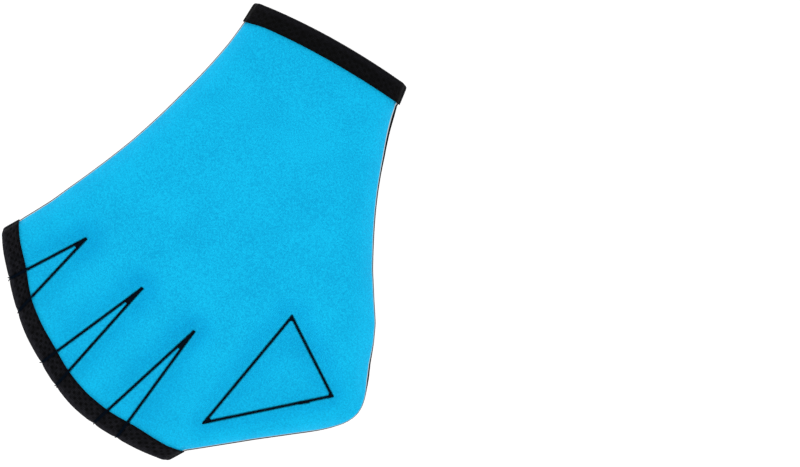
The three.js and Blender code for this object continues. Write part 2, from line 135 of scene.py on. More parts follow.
def roll(distance: Array, reach: float) -> Array:
    """Goes from 0 at an edge to 1 at the reach, as a quarter of an ellipse."""
    return np.sqrt(1 - (1 - np.clip(distance / reach, 0, 1)) ** 2)


def unit(rows: Array) -> Array:
    """Scales each row to length one."""
    return rows / np.maximum(np.linalg.norm(rows, axis=-1, keepdims=True), 1e-9)


def cubic(points: Sequence[Array], count: int) -> Array:
    """Samples a cubic Bezier curve.

    Args:
        points: Start, two handles and end.
        count: How many points to return.

    Returns:
        The points, a row each.
    """
    a, b, c, d = points
    t = np.linspace(0, 1, count)[:, None]
    return a * (1 - t) ** 3 + 3 * b * t * (1 - t) ** 2 + 3 * c * t * t * (1 - t) + d * t**3


def along_line(line: Array, runs: Array) -> Array:
    """Finds points at given distances along a line of points."""
    steps = np.concatenate([[0], np.cumsum(np.linalg.norm(np.diff(line, axis=0), axis=1))])
    return np.stack([np.interp(runs, steps, line[:, k]) for k in range(line.shape[1])], axis=1)


def line_length(line: Array) -> float:
    """Measures a line of points."""
    return float(np.linalg.norm(np.diff(line, axis=0), axis=1).sum())


def distance_to_line(points: Array, line: Array) -> Array:
    """Measures how far points are from a line of points.

    Args:
        points: Places seen from above, a row each.
        line: The line's points, a row each.

    Returns:
        One distance for each place.
    """
    starts, runs = line[:-1], np.diff(line, axis=0)
    square = np.maximum((runs**2).sum(1), 1e-12)
    least = np.full(len(points), np.inf)
    for start, run, size in zip(starts, runs, square):
        share = np.clip(((points - start) @ run) / size, 0, 1)
        least = np.minimum(least, np.linalg.norm(points - start - share[:, None] * run, axis=1))
    return least


def inside(points: Array, polygon: Array) -> Array:
    """Says which places lie inside a polygon.

    Args:
        points: Places seen from above, a row each.
        polygon: The polygon's corners, a row each.

    Returns:
        True or false for each place.
    """
    within = np.zeros(len(points), bool)
    for a, b in zip(polygon, np.roll(polygon, -1, axis=0)):
        crosses = (a[1] > points[:, 1]) != (b[1] > points[:, 1])
        gap = b[1] - a[1] if abs(b[1] - a[1]) > 1e-9 else 1e-9
        within ^= crosses & (points[:, 0] < a[0] + (points[:, 1] - a[1]) * (b[0] - a[0]) / gap)
    return within


def closed_line(polygon: Array) -> Array:
    """Adds the first point again at the end."""
    return np.vstack([polygon, polygon[:1]])


# The glove's form: that of the part's source, with its outline, slopes and creases fitted closer to the real one


@dataclass(frozen=True)
class GloveSizes:
    """Driving dimensions of the glove, millimetres."""

    length: float = 232.0
    width: float = 197.0
    panel: float = 2.5
    taped: float = 1.6
    seam_edge: float = 1.0
    roll_reach: float = 3.5
    palm_edge_round: float = 0.7
    layer_gap: float = 0.3
    tape_width: float = 10.0
    tape: float = 0.7
    tape_fit: float = 0.25
    wrist_room: float = 8.0
    hand_room: float = 9.0
    finger_room: float = 8.0
    heel_run: float = 90.0
    knuckle_run: float = 70.0
    tape_swell: float = 9.0
    seam_reach: float = 14.0
    web_reach: float = 13.0
    patch_reach: float = 12.0
    patch_loft: float = 34.0

    @property
    def tape_build(self) -> float:
        """How far the tape's outer face stands off the panel."""
        return self.tape_fit + self.tape

    @property
    def tape_leg(self) -> float:
        """How far the tape reaches over the panel from the cut edge."""
        return self.tape_width - self.tape_build

    @property
    def tape_turn(self) -> float:
        """Where the inner leg turns at a side seam."""
        return self.taped + self.tape_build + self.tape_fit

    @property
    def inner_room(self) -> float:
        """The least hollow in which both inner legs fit."""
        return 2 * self.tape_build + self.layer_gap


@dataclass(frozen=True)
class Web:
    """One stitched V between two fingers: its start as shares, and its two angles at the mouth."""

    across: float
    along: float
    little_side: float
    thumb_side: float


@dataclass(frozen=True)
class Trim:
    """How far the cut edges stand in from the seam line at a share of half the length, millimetres."""

    along: float
    palm: float
    back_more: float


@dataclass
class GloveForm:
    """The outline, the stitched lines and the heights of the panels' faces.

    Places in the plan are pairs of shares, of half the width and of half the length. The mouth's reach is a
    share of half the length, measured from mouth_centre at even angles from mouth_little to mouth_index.
    """

    sizes: GloveSizes = field(default_factory=GloveSizes)
    webs: tuple[Web, ...] = (
        Web(0.637, 0.396, 40.8, 32.2),
        Web(0.257, 0.404, 17.7, 10.9),
        Web(-0.085, 0.403, -2.7, -9.5),
    )
    mouth_centre: Pair = (0.059, 0.007)
    mouth_reach: tuple[float, ...] = (0.983, 0.966, 0.963, 0.962, 0.972, 0.975, 0.97, 0.974)
    mouth_little: float = 53.2
    mouth_index: float = -23.5
    index_lean: float = 24.0
    wrist_little: Pair = (0.744, -0.846)
    wrist_thumb: Pair = (-0.108, -0.988)
    wrist_handles: tuple[Pair, Pair] = ((0.191, -0.966), (0.459, -0.925))
    little_handles: tuple[Pair, Pair] = ((0.685, -0.362), (0.802, 0.121))
    web_handles: tuple[Pair, Pair] = ((-0.53, 0.74), (-0.72, 0.555))
    web_end: Pair = (-0.893, 0.388)
    corner_handles: tuple[Pair, Pair] = ((-1.011, 0.257), (-1.02, 0.213))
    corner_end: Pair = (-0.929, 0.091)
    thumb_handles: tuple[Pair, Pair] = ((-0.656, -0.297), (-0.34, -0.44))
    triangle: tuple[Pair, Pair, Pair] = ((-0.418, 0.086), (-0.422, 0.677), (-0.832, 0.236))
    # The sides' points are a side step apart, and the last of them keeps least_step off the straight end
    side_step: float = 3.0
    least_step: float = 2.9
    # The trim fades in from the first length under the tape's edge to the second one past it
    trim_fade: Pair = (2.0, 0.5)
    # Where the inner legs' hollow starts to open beside a seam and how soon, as shares of the tape's turn
    turn_opens: Pair = (0.4, 0.5)
    crease: float = 2.8
    press: float = 0.2
    press_reach: float = 1.0
    thumb_trim: tuple[Trim, ...] = (
        Trim(-0.9, 0.6, 1.2),
        Trim(-0.86, 0.45, 1.6),
        Trim(-0.8, 0.45, 1.35),
        Trim(-0.7, 0.1, 1.1),
        Trim(-0.63, 0.3, 0.8),
        Trim(-0.5, 0.6, 0.7),
        Trim(-0.3, 1.0, 0.6),
        Trim(-0.2, 0.2, 0.5),
        Trim(-0.12, -0.8, 0.5),
        Trim(-0.05, -0.5, 0.5),
        Trim(0.02, 0.2, 0.9),
        Trim(0.08, 0.0, 1.1),
        Trim(0.13, 0.2, 0.45),
        Trim(0.2, 0.0, 0.35),
        Trim(0.3, -0.15, 0.4),
        Trim(0.42, -0.1, 0.7),
        Trim(0.6, 0.25, 0.75),
        Trim(0.8, 0.0, 0.7),
    )
    little_trim: tuple[Trim, ...] = (
        Trim(-0.8, 0.3, 0.6),
        Trim(-0.64, 0.7, 0.6),
        Trim(-0.5, 0.5, 0.6),
        Trim(-0.35, 0.1, 0.65),
        Trim(-0.05, 0.5, 0.6),
        Trim(0.12, 0.3, 0.6),
        Trim(0.28, 0.2, 0.6),
        Trim(0.37, 0.45, 0.7),
        Trim(0.5, 0.0, 0.7),
    )

    def __post_init__(self) -> None:
        """Works out the outline's lines."""
        s, place = self.sizes, self.place
        self.centre = place(*self.mouth_centre)
        little = self.on_mouth(self.mouth_little)
        index = self.on_mouth(self.mouth_index)
        lean = math.radians(self.index_lean)
        down = np.array([-math.sin(lean), -math.cos(lean)])
        index_tape = index + down * s.tape_leg
        wrist_little, wrist_thumb = place(*self.wrist_little), place(*self.wrist_thumb)
        web_end, corner_end = place(*self.web_end), place(*self.corner_end)
        little_curve = self.curve(wrist_little, self.little_handles, little, count=200)
        web_curve = self.curve(index_tape, self.web_handles, web_end, count=120)
        corner = self.curve(web_end, self.corner_handles, corner_end, count=60)
        thumb = self.curve(corner_end, self.thumb_handles, wrist_thumb, count=200)
        angles = np.linspace(self.mouth_little, self.mouth_index, 150)
        self.wrist_edge = self.curve(wrist_thumb, self.wrist_handles, wrist_little, count=100)
        self.finger_edge = np.array([self.on_mouth(angle) for angle in angles])
        self.little_in = unit(little_curve[-2] - little_curve[-1])
        self.index_in = down
        self.wrist_little_in = unit(little_curve[1] - little_curve[0])
        self.wrist_thumb_in = unit(thumb[-2] - thumb[-1])
        self.little_side = self.with_straight_ends(little_curve, self.wrist_little_in, self.little_in)
        thumb_chain = np.vstack([index[None], web_curve, corner[1:], thumb[1:]])
        self.thumb_side = self.with_straight_ends(thumb_chain, self.index_in, self.wrist_thumb_in)
        # The thumb's side is two seams for the back sheet, which rises apart from each of them
        tip = place(*self.corner_handles[1])
        split = int(np.argmin(np.linalg.norm(self.thumb_side - tip, axis=1)))
        self.side_lines = (self.little_side, self.thumb_side[: split + 1], self.thumb_side[split:])
        self.patch = np.array([place(*corner_place) for corner_place in self.triangle])
        self.wedges = [
            np.array([place(w.across, w.along), self.on_mouth(w.thumb_side), self.on_mouth(w.little_side)])
            for w in self.webs
        ]

    def place(self, across: float, along: float) -> Array:
        """Turns shares of half the width and half the length to a place."""
        return np.array([across * self.sizes.width / 2, along * self.sizes.length / 2])

    def curve(self, start: Array, handles: tuple[Pair, Pair], end: Array, count: int) -> Array:
        """Draws one smooth run of the outline between two places, bent by its handles."""
        return cubic([start, self.place(*handles[0]), self.place(*handles[1]), end], count)

    def with_straight_ends(self, line: Array, into_first: Array, into_last: Array) -> Array:
        """Replaces a side's ends, which the tape covers, by straight runs.

        Args:
            line: The side from one mouth to the other, a row for each point.
            into_first: The way into the glove at the line's start.
            into_last: The way into the glove at the line's end.

        Returns:
            The side's points, a side step apart between its two straight ends.
        """
        leg, step = self.sizes.tape_leg, self.side_step
        middle = along_line(line, np.arange(leg + step, line_length(line) - leg - self.least_step, step))
        first = np.array([line[0] + into_first * run for run in (0, leg / 2, leg)])
        last = np.array([line[-1] + into_last * run for run in (leg, leg / 2, 0)])
        return np.vstack([first, middle, last])

    def on_mouth(self, degrees: float) -> Array:
        """Finds a place on the finger mouths' edge, on a smooth curve through its reaches.

        Args:
            degrees: The place's angle at the mouth's centre, from +Y towards the little finger.

        Returns:
            The place in the plan.
        """
        reach = self.mouth_reach
        share = (degrees - self.mouth_little) / (self.mouth_index - self.mouth_little)
        spot = min(max(share, 0), 1) * (len(reach) - 1)
        at = min(int(spot), len(reach) - 2)
        t = spot - at
        p0, p1, p2, p3 = (reach[min(max(at + k, 0), len(reach) - 1)] for k in (-1, 0, 1, 2))
        v0, v1 = (p2 - p0) / 2, (p3 - p1) / 2
        made = (2 * p1 - 2 * p2 + v0 + v1) * t**3 + (3 * p2 - 3 * p1 - 2 * v0 - v1) * t**2 + v0 * t + p1
        angle = math.radians(degrees)
        return self.centre + np.array([math.sin(angle), math.cos(angle)]) * made * self.sizes.length / 2

    def stitched_lines(self) -> list[Array]:
        """Lists the straight stitched lines, each as its two ends."""
        webs = [np.array([wedge[0], wedge[k]]) for wedge in self.wedges for k in (1, 2)]
        return webs + [self.patch[[0, 1]], self.patch[[1, 2]], self.patch[[2, 0]]]

    def pressed(self, points: Array) -> Array:
        """Says how deep the stitches pull a sheet in.

        Args:
            points: Places seen from above, a row each.

        Returns:
            The depth at each place.
        """
        away = np.full(len(points), np.inf)
        for line in self.stitched_lines():
            away = np.minimum(away, distance_to_line(points, line))
        return self.press * np.exp(-((away / self.press_reach) ** 2))

    def to_mouths(self, points: Array) -> Array:
        """Measures to the nearer mouth's edge."""
        to_finger = distance_to_line(points, self.finger_edge)
        return np.minimum(to_finger, distance_to_line(points, self.wrist_edge))

    def to_seam(self, points: Array) -> Array:
        """Measures to the nearer side seam."""
        to_little = distance_to_line(points, self.little_side)
        return np.minimum(to_little, distance_to_line(points, self.thumb_side))

    def trimmed(self, points: Array, trims: tuple[Trim, ...], back: bool) -> Array:
        """Says how far an edge stands in at each place, which is nothing under the tape.

        Args:
            points: Places seen from above, a row each.
            trims: The side's table.
            back: Whether the back sheet's jersey is meant, which ends short of the palm sheet.

        Returns:
            Millimetres towards the glove's inside.
        """
        inset = [trim.palm + (trim.back_more if back else 0) for trim in trims]
        made = np.interp(points[:, 1] / (self.sizes.length / 2), [trim.along for trim in trims], inset)
        leg, (under, past) = self.sizes.tape_leg, self.trim_fade
        return made * smooth(leg - under, leg + past, self.to_mouths(points))

    def faces(self, points: Array) -> dict[str, Array]:
        """Works out the heights of the four faces of the two panels.

        Args:
            points: Places seen from above, a row each.

        Returns:
            Heights by face: palm_out, palm_in, back_in and back_out.
        """
        s = self.sizes
        to_seam = self.to_seam(points)
        to_finger = distance_to_line(points, self.finger_edge)
        to_wrist = distance_to_line(points, self.wrist_edge)
        to_mouth = np.minimum(to_finger, to_wrist)
        under_tape = 1 - smooth(s.tape_leg, s.tape_leg + s.tape_swell, to_mouth)
        hand_room = s.finger_room + (s.hand_room - s.finger_room) * smooth(0, s.knuckle_run, to_finger)
        room = s.wrist_room + (hand_room - s.wrist_room) * smooth(0, s.heel_run, to_wrist)
        loft = np.ones(len(points))
        for line in self.side_lines:
            loft = loft * rise(distance_to_line(points, line), s.seam_reach)
        for wedge in self.wedges:
            away = np.where(inside(points, wedge), 0, distance_to_line(points, closed_line(wedge)))
            loft = loft * rise(rounded(away, self.crease), s.web_reach)
        patch_reach = np.where(inside(points, self.patch), s.patch_loft, s.patch_reach)
        to_patch = rounded(distance_to_line(points, closed_line(self.patch)), self.crease)
        loft = loft * rise(to_patch, patch_reach)
        opens, reach = self.turn_opens
        turn = roll(np.maximum(0, to_seam - opens * s.tape_turn), reach * s.tape_turn)
        least = s.layer_gap + (s.inner_room - s.layer_gap) * under_tape * turn
        lift = s.tape_build * under_tape
        thick = s.panel + (s.taped - s.panel) * under_tape
        palm_in = lift + thick
        back_in = palm_in + least + (room - least) * loft
        return {
            "palm_out": lift + s.palm_edge_round * (1 - roll(to_seam, 2 * s.palm_edge_round)),
            "palm_in": palm_in,
            "back_in": back_in,
            "back_out": back_in + s.seam_edge + (thick - s.seam_edge) * roll(to_seam, s.roll_reach),
        }


# Meshes


@dataclass
class MeshParts:
    """Points and faces on their way to one mesh, millimetres."""

    points: list[Array] = field(default_factory=list)
    faces: list[list[int]] = field(default_factory=list)
    finish_of: list[int] = field(default_factory=list)
    count: int = 0

    def add(self, points: Array, faces: Array | list[list[int]], finish: int = 0) -> None:
        """Adds points, and faces that number them from zero.

        Args:
            points: Places in space, a row each.
            faces: The point numbers of each face.
            finish: The material's number on the object.
        """
        made = np.asarray(faces).tolist() if isinstance(faces, Array) else faces
        self.faces += [[k + self.count for k in face] for face in made]
        self.finish_of += [finish] * len(made)
        self.points.append(points)
        self.count += len(points)

    def join(self, faces: list[list[int]], finish: int = 0) -> None:
        """Adds faces between points that are already in, by their final numbers."""
        self.faces += faces
        self.finish_of += [finish] * len(faces)

    def object(self, name: str, finishes: Sequence[bpy.types.Material]) -> bpy.types.Object:
        """Makes the object.

        Args:
            name: The object's name.
            finishes: Its materials, in the order that add numbers them.

        Returns:
            The object, shaded smooth.
        """
        mesh = bpy.data.meshes.new(name)
        points = np.vstack(self.points) * MM
        mesh.from_pydata(points.tolist(), [], self.faces)
        for finish in finishes:
            mesh.materials.append(finish)
        mesh.polygons.foreach_set("material_index", np.array(self.finish_of, np.int32))
        mesh.polygons.foreach_set("use_smooth", np.ones(len(mesh.polygons), bool))
        mesh.update()
        made = bpy.data.objects.new(name, mesh)
        bpy.context.collection.objects.link(made)
        return made


def grid_quads(rows: int, columns: int, turned: bool = False, ring: bool = False) -> Array:
    """Numbers the faces of a grid of points.

    Args:
        rows: Points down the grid.
        columns: Points across the grid.
        turned: Whether the faces look the other way.
        ring: Whether the last column joins the first.

    Returns:
        Four point numbers for each face.
    """
    i, j = np.meshgrid(np.arange(rows - 1), np.arange(columns if ring else columns - 1), indexing="ij")
    k = (j + 1) % columns
    made = np.stack([i * columns + j, i * columns + k, (i + 1) * columns + k, (i + 1) * columns + j], axis=-1)
    made = made.reshape(-1, 4)
    return made[:, ::-1] if turned else made


def thread_tube(path: Array, radius: float, sides: int = 6, tip: float = 0.15) -> tuple[Array, Array]:
    """Makes a closed tube along a path that runs level.

    Args:
        path: The middle of the thread, a row for each point.
        radius: Half the thread's thickness.
        sides: Faces round the thread.
        tip: The share of the thickness that the two ends keep, small enough to look closed.

    Returns:
        The tube's points and its faces.
    """
    tangent = unit(np.gradient(path, axis=0))
    aside = unit(np.cross(tangent, [0.0, 0.0, 1.0]))
    upward = np.cross(aside, tangent)
    turns = np.linspace(0, 2 * np.pi, sides, endpoint=False)
    thickness = np.ones(len(path))
    thickness[[0, -1]] = tip
    ring = np.cos(turns)[:, None] * aside[:, None, :] + np.sin(turns)[:, None] * upward[:, None, :]
    points = path[:, None, :] + ring * (radius * thickness)[:, None, None]
    return points.reshape(-1, 3), grid_quads(len(path), sides, turned=True, ring=True)


def zigzag(count: int) -> Array:
    """Lists the sideways swings of a zigzag thread at its quarter stitches, from -1 to 1."""
    return np.array([0.0, 1.0, 0.0, -1.0])[np.arange(count) % 4]


# Finishes


@dataclass(frozen=True)
class JerseyFinish:
    """Nylon jersey laminated to neoprene foam: a fine warp knit.

    To the eye it is matte and even, a little cloudy, with a soft fuzz at its edges. The real wales are 0.5 mm
    apart and are drawn wider so that they show.
    """

    name: str
    deep: str
    pale: str
    wale_mm: float = 0.9
    course_mm: float = 0.7
    stray: float = 1.2
    # Specks of fuzz 0.7 mm across and clouds of 20 mm, each as how many fit in a millimetre
    specks_per_mm: float = 1.4
    clouds_per_mm: float = 0.05
    cloud_share: float = 0.25
    shade_range: Pair = (0.45, 0.8)
    relief: float = 0.8
    relief_m: float = 0.00015
    roughness: float = 0.7
    specular: float = 0.08
    sheen: float = 0.02
    sheen_roughness: float = 0.4

    def make(self) -> bpy.types.Material:
        """Builds the material on the object's own millimetres.

        Returns:
            The material.
        """
        material, tree = new_material(self.name)
        place = add_node(tree, "ShaderNodeTexCoord")
        # Object coordinates are metres, so 1000 turns them to millimetres
        mm = add_node(
            tree,
            "ShaderNodeVectorMath",
            {"operation": "SCALE"},
            {0: place.outputs["Object"], "Scale": 1000},
        )
        spot = mm.outputs[0]
        specks = add_node(
            tree,
            "ShaderNodeTexNoise",
            {},
            {"Vector": spot, "Scale": self.specks_per_mm, "Detail": 2.0},
        )
        clouds = add_node(
            tree,
            "ShaderNodeTexNoise",
            {},
            {"Vector": spot, "Scale": self.clouds_per_mm, "Detail": 1.0},
        )
        mixed = add_node(
            tree,
            "ShaderNodeMath",
            {"operation": "MULTIPLY_ADD"},
            {0: clouds.outputs["Fac"], 1: self.cloud_share, 2: specks.outputs["Fac"]},
        )
        shade = add_node(
            tree,
            "ShaderNodeMapRange",
            {},
            {0: mixed.outputs[0], 1: self.shade_range[0], 2: self.shade_range[1]},
        )
        colour = add_node(
            tree,
            "ShaderNodeMix",
            {"data_type": "RGBA"},
            {0: shade.outputs[0], 6: linear(self.deep), 7: linear(self.pale)},
        )
        # At a scale of one the wave texture turns by 20 radians in each millimetre
        wales, courses = (
            add_node(
                tree,
                "ShaderNodeTexWave",
                {"bands_direction": way},
                {
                    "Vector": spot,
                    "Scale": 2 * math.pi / (20 * apart),
                    "Distortion": self.stray,
                    "Detail": 1.0,
                },
            )
            for way, apart in (("X", self.wale_mm), ("Y", self.course_mm))
        )
        knit = add_node(
            tree,
            "ShaderNodeMath",
            {"operation": "MULTIPLY"},
            {0: wales.outputs["Fac"], 1: courses.outputs["Fac"]},
        )
        bump = add_node(
            tree,
            "ShaderNodeBump",
            {},
            {"Strength": self.relief, "Distance": self.relief_m, "Height": knit.outputs[0]},
        )
        shader = add_node(
            tree,
            "ShaderNodeBsdfPrincipled",
            {},
            {
                "Base Color": colour.outputs[2],
                "Roughness": self.roughness,
                "Specular IOR Level": self.specular,
                "Sheen Weight": self.sheen,
                "Sheen Roughness": self.sheen_roughness,
                "Normal": bump.outputs[0],
            },
        )
        add_node(tree, "ShaderNodeOutputMaterial", {}, {"Surface": shader.outputs[0]})
        return material


@dataclass(frozen=True)
class FoamFinish:
    """Closed-cell neoprene foam where a knife cut it: dull and finely porous to the eye."""

    name: str
    colour: str
    cell_mm: float = 0.5
    relief: float = 0.6
    relief_m: float = 0.0001
    roughness: float = 0.9
    specular: float = 0.2

    def make(self) -> bpy.types.Material:
        """Builds the material with one pore for each cell.

        Returns:
            The material.
        """
        material, tree = new_material(self.name)
        place = add_node(tree, "ShaderNodeTexCoord")
        cells = add_node(
            tree,
            "ShaderNodeTexVoronoi",
            {},
            {"Vector": place.outputs["Object"], "Scale": 1000 / self.cell_mm},
        )
        bump = add_node(
            tree,
            "ShaderNodeBump",
            {},
            {"Strength": self.relief, "Distance": self.relief_m, "Height": cells.outputs["Distance"]},
        )
        shader = add_node(
            tree,
            "ShaderNodeBsdfPrincipled",
            {},
            {
                "Base Color": linear(self.colour),
                "Roughness": self.roughness,
                "Specular IOR Level": self.specular,
                "Normal": bump.outputs[0],
            },
        )
        add_node(tree, "ShaderNodeOutputMaterial", {}, {"Surface": shader.outputs[0]})
        return material


@dataclass(frozen=True)
class TapeFinish:
    """Polyester binding tape: a ribbed knit with staggered rows of small pits.

    To the eye it is matte black with charcoal high spots, which are painted highlights, and darker pits, which
    are painted shade. Painted shade makes it darkest along its sewn edge and a painted highlight makes it palest
    round the fold. The widths across the tape run from its outer edge, in millimetres.
    """

    name: str
    deep: str
    pale: str
    rib_mm: float = 0.75
    rim_mm: float = 0.8
    rib_low: float = 0.25
    pit_mm: Pair = (4.2, 3.4)
    pit_range: Pair = (0.15, 0.6)
    # Patches 3 mm across, as how many fit in a millimetre, which also move the ribs a little
    patches_per_mm: float = 0.35
    patch_range: Pair = (0.35, 0.65)
    patch_low: float = 0.35
    stray_mm: float = 1.3
    # Painted shade darkens the tape over these widths from its sewn edge
    sewn_shade_mm: Pair = (0.3, 2.8)
    sewn_shade_low: float = 0.15
    # A painted highlight lightens the tape over these widths round its fold
    fold_highlight_mm: Pair = (7.6, 9.0)
    fold_highlight: float = 0.6
    relief: float = 0.9
    relief_m: float = 0.0003
    roughness: float = 0.7
    specular: float = 0.06

    def cosine(
        self, tree: bpy.types.NodeTree, value: bpy.types.NodeSocket, length: float
    ) -> bpy.types.NodeSocket:
        """Adds a pattern that repeats as a cosine.

        Args:
            tree: The material's node tree.
            value: The place on the tape, in millimetres.
            length: How far apart the pattern repeats, in millimetres.

        Returns:
            The pattern's value, from -1 to 1.
        """
        turned = add_node(
            tree,
            "ShaderNodeMath",
            {"operation": "MULTIPLY_ADD"},
            {0: value, 1: 2 * math.pi / length, 2: 0.0},
        )
        return add_node(tree, "ShaderNodeMath", {"operation": "COSINE"}, {0: turned.outputs[0]}).outputs[0]

    def ridges(
        self, tree: bpy.types.NodeTree, value: bpy.types.NodeSocket, length: float
    ) -> bpy.types.NodeSocket:
        """Adds ridges across a place on the tape.

        Args:
            tree: The material's node tree.
            value: The place on the tape, in millimetres.
            length: How far apart the ridges are, in millimetres.

        Returns:
            The ridges' height, from rib_low to 1.
        """
        wave = self.cosine(tree, value, length)
        made = add_node(tree, "ShaderNodeMapRange", {}, {0: wave, 1: -1.0, 2: 1.0, 3: self.rib_low, 4: 1.0})
        return made.outputs[0]

    def make(self) -> bpy.types.Material:
        """Builds the material on the tape's own length and width, kept in its UV map as millimetres.

        Returns:
            The material.
        """
        material, tree = new_material(self.name)
        place = add_node(tree, "ShaderNodeUVMap", {"uv_map": "tape"})
        stray = add_node(
            tree,
            "ShaderNodeTexNoise",
            {},
            {"Vector": place.outputs[0], "Scale": self.patches_per_mm, "Detail": 3.0},
        )
        moved = add_node(
            tree,
            "ShaderNodeVectorMath",
            {"operation": "MULTIPLY_ADD"},
            {0: stray.outputs["Color"], 1: (self.stray_mm, self.stray_mm, 0.0), 2: place.outputs[0]},
        )
        axes = add_node(tree, "ShaderNodeSeparateXYZ", {}, {0: moved.outputs[0]})
        along, across = axes.outputs[0], axes.outputs[1]
        # The cosines' product is high at staggered places 2.7 mm from one another, where the knit has pits;
        # the colour darkens them as painted shade
        pits = add_node(
            tree,
            "ShaderNodeMath",
            {"operation": "MULTIPLY"},
            {0: self.cosine(tree, along, self.pit_mm[0]), 1: self.cosine(tree, across, self.pit_mm[1])},
        )
        level = add_node(
            tree,
            "ShaderNodeMapRange",
            {},
            {0: pits.outputs[0], 1: self.pit_range[0], 2: self.pit_range[1], 3: 1.0, 4: 0.0},
        )
        rims = self.ridges(tree, across, self.rim_mm)
        weave = add_node(
            tree,
            "ShaderNodeMath",
            {"operation": "MULTIPLY"},
            {0: self.ridges(tree, along, self.rib_mm), 1: rims},
        )
        knit = add_node(
            tree,
            "ShaderNodeMath",
            {"operation": "MULTIPLY"},
            {0: weave.outputs[0], 1: level.outputs[0]},
        )
        patches = add_node(
            tree,
            "ShaderNodeMapRange",
            {},
            {
                0: stray.outputs["Fac"],
                1: self.patch_range[0],
                2: self.patch_range[1],
                3: self.patch_low,
                4: 1.0,
            },
        )
        worn = add_node(
            tree,
            "ShaderNodeMath",
            {"operation": "MULTIPLY"},
            {0: knit.outputs[0], 1: patches.outputs[0]},
        )
        # Painted shade: darker towards the sewn edge, where the tape lies on the panel
        sewn = add_node(
            tree,
            "ShaderNodeMapRange",
            {},
            {0: across, 1: self.sewn_shade_mm[0], 2: self.sewn_shade_mm[1], 3: self.sewn_shade_low, 4: 1.0},
        )
        # Painted highlight: paler round the fold, where the tape curves over the cut edge
        fold = add_node(
            tree,
            "ShaderNodeMapRange",
            {},
            {0: across, 1: self.fold_highlight_mm[0], 2: self.fold_highlight_mm[1], 3: 0.0, 4: self.fold_highlight},
        )
        body = add_node(
            tree,
            "ShaderNodeMath",
            {"operation": "MULTIPLY"},
            {0: worn.outputs[0], 1: sewn.outputs[0]},
        )
        high = add_node(
            tree,
            "ShaderNodeMath",
            {"operation": "MULTIPLY_ADD"},
            {0: rims, 1: fold.outputs[0], 2: body.outputs[0]},
        )
        # The colour follows the knit, paler on its high spots as painted highlights and darker in its pits as
        # painted shade
        colour = add_node(
            tree,
            "ShaderNodeMix",
            {"data_type": "RGBA"},
            {0: high.outputs[0], 6: linear(self.deep), 7: linear(self.pale)},
        )
        bump = add_node(
            tree,
            "ShaderNodeBump",
            {},
            {"Strength": self.relief, "Distance": self.relief_m, "Height": knit.outputs[0]},
        )
        shader = add_node(
            tree,
            "ShaderNodeBsdfPrincipled",
            {},
            {
                "Base Color": colour.outputs[2],
                "Roughness": self.roughness,
                "Specular IOR Level": self.specular,
                "Normal": bump.outputs[0],
            },
        )
        add_node(tree, "ShaderNodeOutputMaterial", {}, {"Surface": shader.outputs[0]})
        return material


@dataclass(frozen=True)
class ThreadFinish:
    """Bonded polyester sewing thread: nearly black to the eye, with hardly any gloss along its twist."""

    name: str
    colour: str
    # The fibres are 0.25 mm apart, as how many fit in a metre
    fibres_per_m: float = 4000.0
    relief: float = 0.4
    relief_m: float = 0.00005
    roughness: float = 0.55
    specular: float = 0.04

    def make(self) -> bpy.types.Material:
        """Builds the material with a fine twist across the thread.

        Returns:
            The material.
        """
        material, tree = new_material(self.name)
        place = add_node(tree, "ShaderNodeTexCoord")
        twist = add_node(
            tree,
            "ShaderNodeTexNoise",
            {},
            {"Vector": place.outputs["Object"], "Scale": self.fibres_per_m, "Detail": 2.0},
        )
        bump = add_node(
            tree,
            "ShaderNodeBump",
            {},
            {"Strength": self.relief, "Distance": self.relief_m, "Height": twist.outputs["Fac"]},
        )
        shader = add_node(
            tree,
            "ShaderNodeBsdfPrincipled",
            {},
            {
                "Base Color": linear(self.colour),
                "Roughness": self.roughness,
                "Specular IOR Level": self.specular,
                "Normal": bump.outputs[0],
            },
        )
        add_node(tree, "ShaderNodeOutputMaterial", {}, {"Surface": shader.outputs[0]})
        return material


@dataclass
class Finishes:
    """Every material of the glove, made once."""

    blue_jersey: bpy.types.Material
    black_jersey: bpy.types.Material
    cut_foam: bpy.types.Material
    black_foam: bpy.types.Material
    wrist_tape: bpy.types.Material
    finger_tape: bpy.types.Material
    thread: bpy.types.Material

    @classmethod
    def make(cls) -> "Finishes":
        """Builds them all.

        Returns:
            The glove's materials.
        """
        return cls(
            blue_jersey=JerseyFinish("blue_jersey", "#00a4d8", "#0ac0f0").make(),
            black_jersey=JerseyFinish("black_jersey", "#0c0c0f", "#1a1a1f").make(),
            # The back sheet's cut edge is drawn pale grey, a painted highlight along its seam
            cut_foam=FoamFinish("cut_foam", "#b4c0c6").make(),
            black_foam=FoamFinish("black_foam", "#101012").make(),
            # The wrist tape is the finger tape's material drawn darker, as painted shade
            wrist_tape=TapeFinish("wrist_tape", "#000000", "#15151a").make(),
            finger_tape=TapeFinish("finger_tape", "#000001", "#29292f").make(),
            thread=ThreadFinish("dark_thread", "#010b18").make(),
        )


# Sub-assemblies


class Side(Enum):
    """Which of the glove's two sheets, or which of its outer faces."""

    BACK = "back"
    PALM = "palm"


class Mouth(Enum):
    """Which of the glove's two bound openings."""

    WRIST = "wrist"
    FINGER = "finger"


